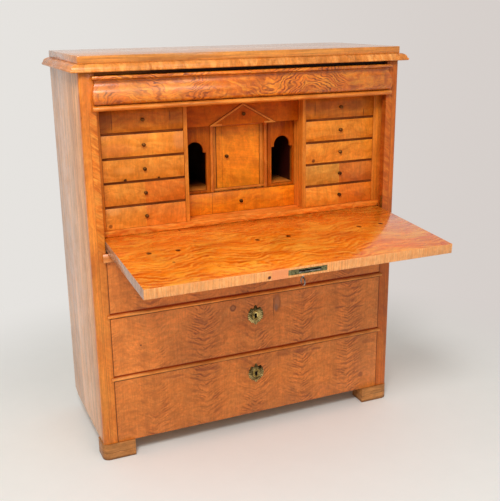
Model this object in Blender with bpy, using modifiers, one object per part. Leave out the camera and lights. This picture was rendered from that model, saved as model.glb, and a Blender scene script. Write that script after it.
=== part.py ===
# Fall front secretaire in figured birch: a chest of three long drawers, a hinged writing fall that hides
# a fitted nest of small drawers, a locker and pigeonholes, and a cushion-fronted drawer in the frieze.
# Metres, +Z up. The front faces -Y and +X is to the right. The origin is on the floor, in the middle of
# the whole footprint with the fall lowered. Run with: blender --background --python part.py
import math

import bmesh
import bpy
from mathutils import Matrix, Vector

# Running clearances
JOINT_GAP = 0.0003          # between pieces that are glued or rest on each other
DRAWER_SIDE_GAP = 0.0012    # at each side of a long drawer
DRAWER_TOP_GAP = 0.0020     # above a drawer front
SMALL_SIDE_GAP = 0.0006     # at each side of a small drawer
OVERRUN = 0.001             # how far a fused or cutting shape runs past its neighbour's face

# Case
CASE_WIDTH = 1.080
CASE_DEPTH = 0.440
SIDE_THICKNESS = 0.020
STILE_WIDTH = 0.046
STILE_THICKNESS = 0.0255
STILE_CORNER_RADIUS = 0.011
BACK_THICKNESS = 0.010
BACK_INSET = 0.004
SKIRTING_CUT_DEPTH = 0.045
SKIRTING_CUT_HEIGHT = 0.016

# Feet
FOOT_HEIGHT = 0.056
FRONT_FOOT_WIDTH = 0.1084
FRONT_FOOT_DEPTH = 0.070
FRONT_FOOT_PROUD = 0.004
FRONT_FOOT_CORNER_RADIUS = 0.022
REAR_FOOT_WIDTH = 0.070
REAR_FOOT_DEPTH = 0.060
REAR_FOOT_SIDE_INSET = 0.030
REAR_FOOT_BACK_INSET = 0.030

# Openings and rails of the front, from the floor up
BOTTOM_THICKNESS = 0.018
LOWER_OPENING = 0.2205
LOWER_RAIL = 0.0165
MIDDLE_OPENING = 0.1980
UPPER_RAIL = 0.0165
UPPER_OPENING = 0.1690
SILL_RAIL = 0.0145
FALL_OPENING = 0.4455
FRIEZE_RAIL = 0.015
FRIEZE_OPENING = 0.0855
TOP_RAIL = 0.0100
TOP_RAIL_DEPTH = 0.060
TOP_RAIL_SET_BACK = 0.0150
RAIL_LIP = 0.001
GUIDE_HEIGHT = 0.016

# Cornice and top slab
CORNICE_HEIGHT = 0.0235
CORNICE_SIDE_PROJECTION = 0.026
CORNICE_FRONT_PROJECTION = 0.020
CORNICE_NOSE_HEIGHT = 0.0080
TOP_SLAB_THICKNESS = 0.0217
TOP_EDGE_RADIUS = 0.0018

# Applied mouldings of the front
BEAD_PROUD = 0.006
BEAD_HEIGHT = 0.0118
BEAD_LAP = 0.008
QUIRK_DEPTH = 0.004
FRIEZE_BEAD_PROUD = 0.0167
FRIEZE_BEAD_LAP = 0.012
FRIEZE_BEAD_DROP = 0.002
SILL_MOULD_PROUD = 0.012
SILL_MOULD_TOP_PROUD = 0.004
SILL_MOULD_HEIGHT = 0.0257
SILL_MOULD_RISE = 0.0133
SILL_MOULD_LAP = 0.0105
SILL_MOULD_FOOT = 0.006

# Frieze drawer front
FRIEZE_FRONT_LAP = 0.0105
FRIEZE_FRONT_PROUD = 0.019
FRIEZE_FRONT_RETURN = 0.0114
FRIEZE_LIP_HEIGHT = 0.0103
FRIEZE_COVE_HEIGHT = 0.0215

# Long drawers
LONG_FRONT_THICKNESS = 0.020
LONG_BACK_GAP = 0.022
LONG_WALL = 0.012
LONG_FLOOR = 0.008
LONG_BOX_DROP = 0.006

# Fall
FALL_THICKNESS = 0.030
FALL_SET_BACK = 0.001
FALL_SIDE_GAP = 0.0012
FALL_TOP_GAP = 0.002
FALL_HEEL_GAP = 0.0027
FALL_HEEL = 0.030
PIVOT_FROM_WRITING_FACE = 0.020
FALL_DROOP = math.radians(3.9)
FALL_EDGE_RADIUS = 0.001
PIVOT_PLATE_WIDTH = 0.018
PIVOT_PLATE_ABOVE = 0.061
PIVOT_PLATE_BELOW = 0.0235
PIVOT_PLATE_THICKNESS = 0.002
PIVOT_STUD_RADIUS = 0.004
PIVOT_STUD_LENGTH = 0.011
STUD_BORE_GAP = 0.00045

# Fall lock, bolt and key
LOCK_X = -0.008
LOCK_PLATE_WIDTH = 0.124
LOCK_PLATE_HEIGHT = 0.0157
LOCK_PLATE_THICKNESS = 0.002
LOCK_CASE_WIDTH = 0.094
LOCK_CASE_HEIGHT = 0.0125
LOCK_CASE_DEPTH = 0.056
LOCK_CASE_WALL = 0.002
BOLT_OFFSET = 0.007
BOLT_WIDTH = 0.072
BOLT_LENGTH = 0.033
BOLT_FROM_FACE = 0.0005
BOLT_THROW = 0.008
BOLT_GAP = 0.0004
STRIKE_MARGIN = 0.0012
KEY_OFFSET = 0.006
KEY_INSET = 0.0395
KEY_SHAFT_RADIUS = 0.0030
KEY_BIT_REACH = 0.0110
KEY_BIT_THICKNESS = 0.0022
KEY_BIT_HEIGHT = 0.0062
KEY_NECK = 0.0225
KEY_BOW_RADIUS = 0.0120
KEY_BOW_WIRE = 0.0022
KEYHOLE_GAP = 0.0008

# Escutcheons
ESCUTCHEON_X = 0.004
ESCUTCHEON_BELOW_TOP = 0.0672
ESCUTCHEON_HALF_WIDTH = 0.0305
ESCUTCHEON_HALF_HEIGHT = 0.0300
ESCUTCHEON_THICKNESS = 0.0016
BOSS_HALF_WIDTH = 0.0150
BOSS_HALF_HEIGHT = 0.0175
BOSS_PROUD = 0.0012
KEYHOLE_RADIUS = 0.0033
KEYHOLE_SLOT_WIDTH = 0.0036
KEYHOLE_SLOT_LENGTH = 0.0118
KEYHOLE_DEPTH = 0.012

# Nest of small drawers
NEST_BOTTOM_THICKNESS = 0.0165
NEST_FRONT_GAP = 0.003
NEST_SIDE_FRONT = 0.046
BANK_FRONT = 0.048
BANK_INSET = 0.0174
BANK_WIDTH = 0.2621
NEST_SIDE_THICKNESS = 0.012
NEST_SIDE_FILLER_DEPTH = 0.010
PARTITION_THICKNESS = 0.012
BANK_ROWS = 5
RACK_SHELF = 0.0050
RACK_EDGE_SET_BACK = 0.0012
RACK_BACK = 0.006
RACK_BACK_GAP = 0.012
SMALL_FRONT_THICKNESS = 0.010
SMALL_WALL = 0.006
SMALL_FLOOR = 0.004
SMALL_BACK_GAP = 0.006
SMALL_FRONT_GAP = 0.0012
SMALL_FOOT_GAP = 0.0007
TOP_DRAWER_GAP = 0.0006

# Middle of the nest
SHELF_THICKNESS = 0.0085
CENTRE_DRAWER_HEIGHT = 0.0723
CENTRE_DRAWER_FRONT = 0.105
PEDIMENT_DRAWER_HEIGHT = 0.0780
PEDIMENT_DRAWER_FRONT = 0.078
CENTRE_FRONT_THICKNESS = 0.012
FACADE_BACK = 0.1226
ARCH_BOARD_THICKNESS = 0.011
ARCH_SIDE_STILE = 0.0130
ARCH_OUTER_STILE = 0.0060
ARCH_BOTTOM_RAIL = 0.0090
ARCH_RADIUS_SHARE = 0.76
ARCH_SPRING_BELOW_TOP = 0.082
ARCH_SHOULDER_DROP = 0.006
COLUMN_RADIUS = 0.0070
COLUMN_SHAFT_RADIUS = 0.0061
COLUMN_BLOCK = 0.009
LOCKER_WIDTH_SHARE = 0.3926
LOCKER_WALL = 0.009
PILASTER_WIDTH = 0.0247
PILASTER_DEPTH = 0.008
DOOR_THICKNESS = 0.012
DOOR_GAP = 0.0010
DOOR_PIN_RADIUS = 0.0020
DOOR_PIN_LENGTH = 0.0045
DOOR_PIN_INSET = 0.0032
DOOR_KNOB_FROM_EDGE = 0.0355
DOOR_KNOB_HEIGHT_SHARE = 0.52
DOOR_EDGE_RADIUS = 0.0032
PEDIMENT_WIDTH_SHARE = 0.582
PEDIMENT_RISE_SHARE = 0.90
PEDIMENT_PANEL_PROUD = 0.002
PEDIMENT_MOULD_PROUD = 0.005
PEDIMENT_MOULD_WIDTH = 0.0055
PEDIMENT_STUB_SHARE = 0.357
KNOB_RADIUS = 0.0055
KNOB_LENGTH = 0.0110
KNOB_TENON = 0.004

ROUND_SIDES = 24
KNOB_SIDES = 12
RIM_LEAVES = 12
# Rim of an escutcheon between its tips: share of the half size, and of it the depth of its leaves
RIM_SHARE = 0.94
RIM_LEAF_SHARE = 0.035
# Tips of an escutcheon's rim: place in degrees, then width and height
RIM_SHARES = ((90, 0.14, 0.26), (52, 0.16, 0.12), (128, 0.16, 0.12), (71, 0.10, -0.10), (109, 0.10, -0.10),
              (270, 0.20, 0.20))
# Turned knob from its crown down to its tenon: shares of the radius and of the length
KNOB_SHARES = ((0.0, 1.0), (0.55, 0.96), (0.92, 0.80), (1.0, 0.62), (0.85, 0.42), (0.50, 0.28), (0.50, 0.12),
               (0.80, 0.06), (0.80, -0.02))
# Turned column between its two blocks: shares of the shaft radius and of the shaft length, top to bottom
COLUMN_SHARES = ((0.92, 0.985), (0.90, 0.96), (0.96, 0.60), (1.0, 0.30), (0.98, 0.04), (1.02, 0.015))

# Frieze drawer's front: shares of its projection and of the cushion's, the cove's and the lip's own height
CUSHION_SHARES = ((0.34, 0.0), (0.62, 0.04), (0.80, 0.11), (0.93, 0.22), (0.99, 0.36), (1.0, 0.50),
                  (0.99, 0.64), (0.93, 0.78), (0.80, 0.89), (0.60, 0.96), (0.30, 1.0))
COVE_SHARES = ((0.22, 0.06), (0.20, 0.40), (0.24, 0.72), (0.38, 0.92), (0.62, 1.0))
LIP_SHARES = ((0.90, 0.05), (0.98, 0.22), (1.0, 0.50), (0.98, 0.80), (0.88, 1.0))

# Levels of the front
FRAME_BOTTOM = FOOT_HEIGHT + JOINT_GAP
LOWER_RAIL_Z = FOOT_HEIGHT + LOWER_OPENING
UPPER_RAIL_Z = LOWER_RAIL_Z + LOWER_RAIL + MIDDLE_OPENING
SILL_RAIL_Z = UPPER_RAIL_Z + UPPER_RAIL + UPPER_OPENING
FALL_SILL_Z = SILL_RAIL_Z + SILL_RAIL
FRIEZE_RAIL_Z = FALL_SILL_Z + FALL_OPENING
TOP_RAIL_Z = FRIEZE_RAIL_Z + FRIEZE_RAIL + FRIEZE_OPENING
CASE_TOP = TOP_RAIL_Z + TOP_RAIL
FRAME_TOP = CASE_TOP - JOINT_GAP

# Places across and through the case
HALF_WIDTH = CASE_WIDTH / 2
SIDE_INNER = HALF_WIDTH - SIDE_THICKNESS
BOARD_HALF = SIDE_INNER - JOINT_GAP
STILE_INNER = HALF_WIDTH - STILE_WIDTH
BEHIND_STILE = STILE_THICKNESS + JOINT_GAP
BACK_PANEL_Y = CASE_DEPTH - BACK_INSET - BACK_THICKNESS
BOARD_END = BACK_PANEL_Y - JOINT_GAP
LONG_HALF = STILE_INNER - DRAWER_SIDE_GAP
LONG_DRAWER_END = BOARD_END - LONG_BACK_GAP

# The fall turns on two studs close to its foot, and its heel bears up under the nest when it is down
PIVOT_Y = FALL_SET_BACK + FALL_THICKNESS - PIVOT_FROM_WRITING_FACE
PIVOT_Z = FALL_SILL_Z + FALL_HEEL_GAP + FALL_HEEL
FALL_REACH = FRIEZE_RAIL_Z - FALL_TOP_GAP - PIVOT_Z
FALL_OUTER = PIVOT_FROM_WRITING_FACE - FALL_THICKNESS
FALL_MIDDLE = PIVOT_FROM_WRITING_FACE - FALL_THICKNESS / 2
FALL_HALF = STILE_INNER - FALL_SIDE_GAP
NEST_BOTTOM_Z = (PIVOT_Z + PIVOT_FROM_WRITING_FACE * math.cos(FALL_DROOP) + FALL_HEEL * math.sin(FALL_DROOP)
                 + JOINT_GAP)
NEST_FLOOR = NEST_BOTTOM_Z + NEST_BOTTOM_THICKNESS
NEST_BASE = NEST_FLOOR + JOINT_GAP
NEST_TOP = FRIEZE_RAIL_Z - JOINT_GAP
NEST_DRAWER_TOP = FRIEZE_RAIL_Z - FRIEZE_BEAD_DROP - TOP_DRAWER_GAP
NEST_BOTTOM_FRONT = FALL_SET_BACK + FALL_THICKNESS + NEST_FRONT_GAP
FALL_FRONT = FALL_REACH * math.cos(FALL_DROOP) + PIVOT_FROM_WRITING_FACE * math.sin(FALL_DROOP) - PIVOT_Y
ROW_PITCH = (NEST_TOP - NEST_FLOOR) / BANK_ROWS
BANK_OUTER = STILE_INNER - BANK_INSET
PARTITION_OUTER = BANK_OUTER - BANK_WIDTH
PARTITION_INNER = PARTITION_OUTER - PARTITION_THICKNESS
BANK_KNOB_X = (PARTITION_OUTER + BANK_OUTER) / 2
RACK_BACK_FRONT = BOARD_END - RACK_BACK_GAP - RACK_BACK
SMALL_BOX_END = RACK_BACK_FRONT - SMALL_BACK_GAP

# Levels in the middle of the nest
LOW_SHELF_Z = NEST_FLOOR + CENTRE_DRAWER_HEIGHT
HIGH_SHELF_TOP = NEST_TOP - PEDIMENT_DRAWER_HEIGHT
HIGH_SHELF_Z = HIGH_SHELF_TOP - SHELF_THICKNESS
LOCKER_FLOOR = LOW_SHELF_Z + SHELF_THICKNESS
CENTRE_HALF = PARTITION_INNER - SMALL_SIDE_GAP
LOCKER_HALF_WIDTH = PARTITION_INNER * LOCKER_WIDTH_SHARE
ARCH_BOARD_INNER = LOCKER_HALF_WIDTH + PILASTER_WIDTH + JOINT_GAP
COLUMN_X = ARCH_BOARD_INNER - JOINT_GAP - COLUMN_RADIUS
COLUMN_Y = FACADE_BACK - JOINT_GAP - COLUMN_RADIUS
DOOR_HALF = LOCKER_HALF_WIDTH - DOOR_GAP

BIRCH = (0.745, 0.33, 0.085)
BIRCH_DARK = (0.60, 0.235, 0.065)
PINE = (0.62, 0.40, 0.19)
BRASS = (0.55, 0.39, 0.13)
STEEL = (0.35, 0.34, 0.32)

for old in list(bpy.data.objects):
    bpy.data.objects.remove(old, do_unlink=True)

parts = bpy.data.collections.new("fall_front_secretaire")
cutters = bpy.data.collections.new("cutters_and_unions")
bpy.context.scene.collection.children.link(parts)
bpy.context.scene.collection.children.link(cutters)


def empty(name, location, parent=None, turn=0.0):
    """An axis or frame that pieces hang on; turn is about X."""
    holder = bpy.data.objects.new(name, None)
    holder.location = location
    holder.rotation_euler.x = turn
    holder.parent = parent
    parts.objects.link(holder)
    return holder


CASE = empty("case_frame", (0, (FALL_FRONT - CASE_DEPTH) / 2, 0))
FALL_AXIS = empty("fall_axis", (0, PIVOT_Y, PIVOT_Z), CASE, FALL_DROOP)


def finish(obj, colour, roughness=0.38, metallic=0.0):
    """Gives the piece its own material, and puts it among the parts."""
    material = bpy.data.materials.new(obj.name)
    material.use_nodes = True
    shader = material.node_tree.nodes["Principled BSDF"]
    shader.inputs["Base Color"].default_value = (*colour, 1)
    shader.inputs["Roughness"].default_value = roughness
    shader.inputs["Metallic"].default_value = metallic
    obj.data.materials.clear()
    obj.data.materials.append(material)
    for collection in list(obj.users_collection):
        collection.objects.unlink(obj)
    parts.objects.link(obj)
    obj.hide_render = False
    obj.display_type = "TEXTURED"
    return obj


def tool(name, mesh, location, parent):
    """A hidden mesh object: a cutter, or a shape that a piece is fused from."""
    obj = bpy.data.objects.new(name, mesh)
    obj.location = location
    obj.parent = parent
    obj.hide_render = True
    obj.display_type = "WIRE"
    cutters.objects.link(obj)
    return obj


def block(name, x, y, z, parent=None, radius=0.0, edges=None, segments=4):
    """A board between two planes each way; edges picks, from its two ends, the edges that are rounded."""
    low = Vector((x[0], y[0], z[0]))
    high = Vector((x[1], y[1], z[1]))
    mesh = bpy.data.meshes.new(name)
    bm = bmesh.new()
    bmesh.ops.create_cube(bm, size=1.0, matrix=Matrix.Diagonal((*(high - low), 1)))
    if radius and edges:
        picked = [e for e in bm.edges if edges(*(v.co for v in e.verts))]
        bmesh.ops.bevel(bm, geom=picked, offset=radius, segments=segments, profile=0.5, affect="EDGES")
    bm.to_mesh(mesh)
    bm.free()
    return tool(name, mesh, (low + high) / 2, parent or CASE)


def mirrored(x, side):
    """The span x on the left (side -1) or right (side 1), given for the right."""
    return sorted((side * x[0], side * x[1]))


def fuse(obj, other):
    union = obj.modifiers.new("fuse " + other.name, "BOOLEAN")
    union.operation = "UNION"
    union.object = other
    return obj


def cut(obj, other):
    difference = obj.modifiers.new("cut " + other.name, "BOOLEAN")
    difference.operation = "DIFFERENCE"
    difference.object = other
    return obj


def outline_mesh(name, points):
    """A flat face from points in its plane, to be given depth by an extrusion."""
    bm = bmesh.new()
    face = bm.faces.new([bm.verts.new((u, v, 0)) for u, v in points])
    if face.normal.z < 0:
        bmesh.ops.reverse_faces(bm, faces=[face])
    bm.normal_update()
    return bm


def prism(name, points, depth, turn, location, parent):
    """An outline in its own plane pulled out by depth along its normal, turned and placed."""
    bm = outline_mesh(name, points)
    bm.faces.ensure_lookup_table()
    pulled = bmesh.ops.extrude_face_region(bm, geom=list(bm.faces))
    moved = [v for v in pulled["geom"] if isinstance(v, bmesh.types.BMVert)]
    bmesh.ops.translate(bm, vec=(0, 0, depth), verts=moved)
    bmesh.ops.recalc_face_normals(bm, faces=list(bm.faces))
    bmesh.ops.transform(bm, matrix=turn, verts=list(bm.verts))
    mesh = bpy.data.meshes.new(name)
    bm.to_mesh(mesh)
    bm.free()
    return tool(name, mesh, location, parent)


# An outline drawn as (y, z) runs along X, and one drawn as (x, z) runs towards -Y
ALONG_X = Matrix(((0, 0, 1, 0), (1, 0, 0, 0), (0, 1, 0, 0), (0, 0, 0, 1)))
TOWARDS_FRONT = Matrix.Rotation(math.radians(90), 4, "X")


def rod(name, radius, length, axis, centre, parent, sides=ROUND_SIDES):
    """A round bar of this length about the axis letter."""
    mesh = bpy.data.meshes.new(name)
    bm = bmesh.new()
    bmesh.ops.create_cone(bm, cap_ends=True, segments=sides, radius1=radius, radius2=radius, depth=length)
    turn = {"X": Matrix.Rotation(math.radians(90), 4, "Y"), "Y": Matrix.Rotation(math.radians(90), 4, "X"),
            "Z": Matrix.Identity(4)}[axis]
    bmesh.ops.transform(bm, matrix=turn, verts=list(bm.verts))
    bm.to_mesh(mesh)
    bm.free()
    return tool(name, mesh, centre, parent)


def turned(name, profile, location, parent, towards_front=False, sides=ROUND_SIDES):
    """A turned shape: profile holds (radius, height) from the top down, spun by a Screw."""
    mesh = bpy.data.meshes.new(name)
    bm = bmesh.new()
    points = [bm.verts.new((radius, 0, height)) for radius, height in profile]
    for above, below in zip(points, points[1:]):
        bm.edges.new((above, below))
    bm.to_mesh(mesh)
    bm.free()
    obj = tool(name, mesh, location, parent)
    screw = obj.modifiers.new("turn", "SCREW")
    screw.steps = sides
    screw.render_steps = sides
    screw.use_merge_vertices = True
    screw.merge_threshold = OVERRUN / 100
    if towards_front:
        obj.rotation_euler.x = math.radians(90)
    return obj


def knob(name, location, parent):
    """A small turned knob whose tenon runs into the front that carries it."""
    profile = [(r * KNOB_RADIUS, z * KNOB_LENGTH) for r, z in KNOB_SHARES]
    tenon = profile[-1][0]
    profile += [(tenon, -KNOB_TENON), (0, -KNOB_TENON)]
    return turned(name, profile, location, parent, towards_front=True, sides=KNOB_SIDES)


def keyhole_points(up, gap=0.0):
    """The outline of a keyhole: a round head with a slot that hangs from it; up is +1 or -1."""
    radius = KEYHOLE_RADIUS + gap
    half = KEYHOLE_SLOT_WIDTH / 2 + gap
    start = math.asin(half / radius)
    steps = ROUND_SIDES // 2
    head = []
    for i in range(steps + 1):
        angle = -math.pi / 2 + start + (2 * math.pi - 2 * start) * i / steps
        head.append((radius * math.cos(angle), up * radius * math.sin(angle)))
    foot = -up * (KEYHOLE_SLOT_LENGTH + gap)
    return head + [(-half, foot), (half, foot)]


# Case of the carcase: sides, stiles, back, bottom and rails


def outer_front_edge(side):
    """Picks the upright edge at the front and outside of a piece centred on its own origin."""
    def pick(a, b):
        return a.z * b.z < 0 and a.y < 0 and b.y < 0 and a.x * side > 0 and b.x * side > 0
    return pick


def side_panel(name, side):
    """A pine side with its lower back corner cut away for a skirting board."""
    x = mirrored((SIDE_INNER, HALF_WIDTH), side)
    panel = block(name, x, (BEHIND_STILE, CASE_DEPTH), (FRAME_BOTTOM, FRAME_TOP))
    slope = math.atan2(SKIRTING_CUT_HEIGHT, SKIRTING_CUT_DEPTH)
    bm = bmesh.new()
    bm.from_mesh(panel.data)
    corner = Vector((0, CASE_DEPTH - SKIRTING_CUT_DEPTH, FRAME_BOTTOM)) - panel.location
    corner.x = 0
    everything = list(bm.verts) + list(bm.edges) + list(bm.faces)
    result = bmesh.ops.bisect_plane(bm, geom=everything, plane_co=corner, clear_outer=True,
                                    plane_no=(0, math.sin(slope), -math.cos(slope)))
    rim = [e for e in result["geom_cut"] if isinstance(e, bmesh.types.BMEdge)]
    bmesh.ops.holes_fill(bm, edges=rim)
    bm.to_mesh(panel.data)
    bm.free()
    return finish(panel, BIRCH, 0.42)


def stile(name, side):
    """A front upright with a rounded outer corner, let in for the pivot plate of the fall."""
    x = mirrored((STILE_INNER, HALF_WIDTH), side)
    post = block(name, x, (0, STILE_THICKNESS), (FRAME_BOTTOM, FRAME_TOP), radius=STILE_CORNER_RADIUS,
                 edges=outer_front_edge(side), segments=5)
    half = PIVOT_PLATE_WIDTH / 2 + JOINT_GAP
    deep = (STILE_INNER - OVERRUN, STILE_INNER + PIVOT_PLATE_THICKNESS + JOINT_GAP)
    recess = block(name + "_recess", mirrored(deep, side), (PIVOT_Y - half, PIVOT_Y + half),
                   (PIVOT_Z - PIVOT_PLATE_BELOW - JOINT_GAP, PIVOT_Z + PIVOT_PLATE_ABOVE + JOINT_GAP))
    return finish(cut(post, recess), BIRCH, 0.34)


def guides(name, obj, floor, front=BEHIND_STILE):
    """Two strips planted on a board, which keep a drawer straight behind the stiles."""
    for side, word in ((-1, "left"), (1, "right")):
        x = mirrored((STILE_INNER, BOARD_HALF), side)
        z = (floor - OVERRUN, floor + GUIDE_HEIGHT)
        fuse(obj, block(f"{name}_{word}_guide", x, (front, BOARD_END), z))
    return obj


def rail(name, low, thickness, front, with_guides=True):
    """A full-depth dust board whose front edge shows as a rail between the stiles."""
    z = (low, low + thickness)
    board = block(name, (-BOARD_HALF, BOARD_HALF), (BEHIND_STILE, BOARD_END), z)
    half = STILE_INNER - JOINT_GAP
    fuse(board, block(name + "_edge", (-half, half), (front, BEHIND_STILE + OVERRUN), z))
    if with_guides:
        guides(name, board, low + thickness)
    return board


def arc(start, end, middle_out, steps):
    """Points on a flat curve from start to end that bulges by middle_out at its middle, to the left."""
    start, end = Vector(start), Vector(end)
    across = (end - start).orthogonal().normalized()
    points = []
    for i in range(steps + 1):
        t = i / steps
        points.append(tuple(start.lerp(end, t) + across * middle_out * math.sin(math.pi * t)))
    return points


def round_nose(back, proud, low, high, steps=8):
    """A half-round moulding section as (y, z): flat behind, round in front."""
    middle = (low + high) / 2
    half = (high - low) / 2
    nose = []
    for i in range(steps + 1):
        angle = math.pi * i / steps
        nose.append((back - (proud - back) * math.sin(angle), middle - half * math.cos(angle)))
    return nose


side_panel("left_side", -1)
side_panel("right_side", 1)
stile("left_stile", -1)
stile("right_stile", 1)

finish(rail("bottom_board", FRAME_BOTTOM, BOTTOM_THICKNESS, LONG_FRONT_THICKNESS + JOINT_GAP), PINE, 0.6)


def beaded_rail(name, low, thickness):
    """A dust board with a half-round bead glued along its front edge and a quirk, a groove, above it."""
    board = rail(name, low, thickness, -RAIL_LIP)
    half = STILE_INNER + BEAD_LAP
    cut(board, block(name + "_quirk", (-half, half), (-RAIL_LIP - OVERRUN, QUIRK_DEPTH),
                     (low + BEAD_HEIGHT, low + thickness + OVERRUN)))
    section = round_nose(-JOINT_GAP, BEAD_PROUD, low, low + BEAD_HEIGHT)
    bead = prism(name + "_bead", section, 2 * half, ALONG_X, (-half, 0, 0), CASE)
    return finish(fuse(board, bead), BIRCH, 0.36)


beaded_rail("lower_rail", LOWER_RAIL_Z, LOWER_RAIL)
beaded_rail("upper_rail", UPPER_RAIL_Z, UPPER_RAIL)
finish(rail("sill_rail", SILL_RAIL_Z, SILL_RAIL, 0, with_guides=False), PINE, 0.55)

# The moulding planted under the fall stands up in front of the fall's foot
sill_low = FALL_SILL_Z + SILL_MOULD_RISE - SILL_MOULD_HEIGHT
sill_high = FALL_SILL_Z + SILL_MOULD_RISE
sill_back = -JOINT_GAP
sill_foot = (-SILL_MOULD_PROUD, sill_low + SILL_MOULD_FOOT)
sill_section = [(sill_back, sill_low), (-SILL_MOULD_PROUD, sill_low)]
sill_section += arc(sill_foot, (-SILL_MOULD_TOP_PROUD, sill_high), SILL_MOULD_TOP_PROUD / 3, 6)
sill_section += [(sill_back, sill_high)]
sill_half = STILE_INNER + SILL_MOULD_LAP
finish(prism("sill_moulding", sill_section, 2 * sill_half, ALONG_X, (-sill_half, 0, 0), CASE), BIRCH, 0.34)


def strike_mortise():
    """The pocket in the frieze rail that takes the bolt when the fall is shut and locked."""
    half = BOLT_WIDTH / 2 + STRIKE_MARGIN
    middle = FALL_SET_BACK + FALL_THICKNESS / 2
    deep = LOCK_CASE_HEIGHT / 2
    centre = LOCK_X + BOLT_OFFSET
    return block("strike_mortise", (centre - half, centre + half), (middle - deep, middle + deep),
                 (FRIEZE_RAIL_Z - OVERRUN, FRIEZE_RAIL_Z + BOLT_THROW))


frieze_rail = rail("frieze_rail", FRIEZE_RAIL_Z, FRIEZE_RAIL, -RAIL_LIP)
frieze_bead_half = STILE_INNER + FRIEZE_BEAD_LAP
frieze_bead_section = round_nose(-JOINT_GAP, FRIEZE_BEAD_PROUD, FRIEZE_RAIL_Z - FRIEZE_BEAD_DROP,
                                 FRIEZE_RAIL_Z + FRIEZE_RAIL)
fuse(frieze_rail, prism("frieze_bead", frieze_bead_section, 2 * frieze_bead_half, ALONG_X,
                        (-frieze_bead_half, 0, 0), CASE))
finish(cut(frieze_rail, strike_mortise()), BIRCH, 0.34)

top_half = STILE_INNER - JOINT_GAP
finish(block("top_rail", (-top_half, top_half), (TOP_RAIL_SET_BACK, TOP_RAIL_DEPTH), (TOP_RAIL_Z, FRAME_TOP)),
       BIRCH_DARK, 0.5)
finish(block("back_panel", (-BOARD_HALF, BOARD_HALF), (BACK_PANEL_Y, CASE_DEPTH - BACK_INSET),
             (FRAME_BOTTOM, FRAME_TOP)), PINE, 0.7)

# Feet


def front_foot(name, side):
    outer = HALF_WIDTH + FRONT_FOOT_PROUD
    x = mirrored((outer - FRONT_FOOT_WIDTH, outer), side)
    foot = block(name, x, (-FRONT_FOOT_PROUD, FRONT_FOOT_DEPTH - FRONT_FOOT_PROUD), (0, FOOT_HEIGHT),
                 radius=FRONT_FOOT_CORNER_RADIUS, edges=outer_front_edge(side), segments=6)
    return finish(foot, BIRCH_DARK, 0.5)


def rear_foot(name, side):
    outer = HALF_WIDTH - REAR_FOOT_SIDE_INSET
    back = CASE_DEPTH - REAR_FOOT_BACK_INSET
    foot = block(name, mirrored((outer - REAR_FOOT_WIDTH, outer), side), (back - REAR_FOOT_DEPTH, back),
                 (0, FOOT_HEIGHT))
    return finish(foot, BIRCH_DARK, 0.6)


front_foot("left_front_foot", -1)
front_foot("right_front_foot", 1)
rear_foot("left_rear_foot", -1)
rear_foot("right_rear_foot", 1)


# Cornice: a flat board whose front and sides are worked to a nosing below a rounded slope
def cornice_section():
    """Shares of the projection still left, with their heights, from the bottom of the nosing upwards."""
    nose_steps = 6
    slope_steps = 5
    middle = CORNICE_NOSE_HEIGHT / 2
    set_back = middle / CORNICE_SIDE_PROJECTION
    section = []
    for i in range(nose_steps + 1):
        angle = math.pi * i / nose_steps
        section.append((1 - set_back * (1 - math.sin(angle)), middle * (1 - math.cos(angle))))
    start = section[-1][0]
    rise = CORNICE_HEIGHT - CORNICE_NOSE_HEIGHT
    for i in range(1, slope_steps + 1):
        angle = math.pi / 2 * i / slope_steps
        section.append((start * math.cos(angle), CORNICE_NOSE_HEIGHT + rise * math.sin(angle)))
    return section


def returned(name, section, half, side_proud, front_proud, back, low):
    """A moulding that turns round both ends: a ring of four corners for each (share, height)."""
    bm = bmesh.new()
    rings = []
    for share, height in section:
        x = half + side_proud * share
        y = -front_proud * share
        corners = ((-x, y), (x, y), (x, back), (-x, back))
        rings.append([bm.verts.new((*corner, height)) for corner in corners])
    for below, above in zip(rings, rings[1:]):
        for i in range(len(below)):
            j = (i + 1) % len(below)
            bm.faces.new((below[i], below[j], above[j], above[i]))
    bm.faces.new(rings[0][::-1])
    bm.faces.new(rings[-1])
    mesh = bpy.data.meshes.new(name)
    bm.to_mesh(mesh)
    bm.free()
    return tool(name, mesh, (0, 0, low), CASE)


finish(returned("cornice", cornice_section(), HALF_WIDTH, CORNICE_SIDE_PROJECTION,
                CORNICE_FRONT_PROJECTION, CASE_DEPTH, CASE_TOP), BIRCH, 0.34)
slab_z = CASE_TOP + CORNICE_HEIGHT + JOINT_GAP
finish(block("top_slab", (-HALF_WIDTH, HALF_WIDTH), (0, CASE_DEPTH), (slab_z, slab_z + TOP_SLAB_THICKNESS),
             radius=TOP_EDGE_RADIUS, segments=2, edges=lambda a, b: a.z > 0 and b.z > 0), BIRCH, 0.22)


# Drawers


def drawer(name, x, box_x, y, z, box_z, wall, floor, front_thickness, colour, box_end):
    """A tray behind a front. x, z: the front's spans; box_x, box_z: the tray's; y: the front's face."""
    front = block(name, x, (y, y + front_thickness), z)
    tray = block(name + "_tray", box_x, (y + front_thickness - OVERRUN, box_end), box_z)
    hollow = block(name + "_hollow", (box_x[0] + wall, box_x[1] - wall),
                   (y + front_thickness, box_end - wall), (box_z[0] + floor, box_z[1] + OVERRUN))
    fuse(front, tray)
    cut(front, hollow)
    return finish(front, colour, 0.36)


def keyhole_cutter(name, x, z):
    return prism(name, keyhole_points(1), KEYHOLE_DEPTH + OVERRUN, TOWARDS_FRONT,
                 (x, KEYHOLE_DEPTH, z), CASE)


def lobe(angle, place, width, height):
    """How far a rounded tip at this place on the rim stands out, as a share of the rim's radius."""
    away = math.remainder(angle - math.radians(place), 2 * math.pi)
    return height * math.exp(-(away / width) ** 2)


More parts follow.
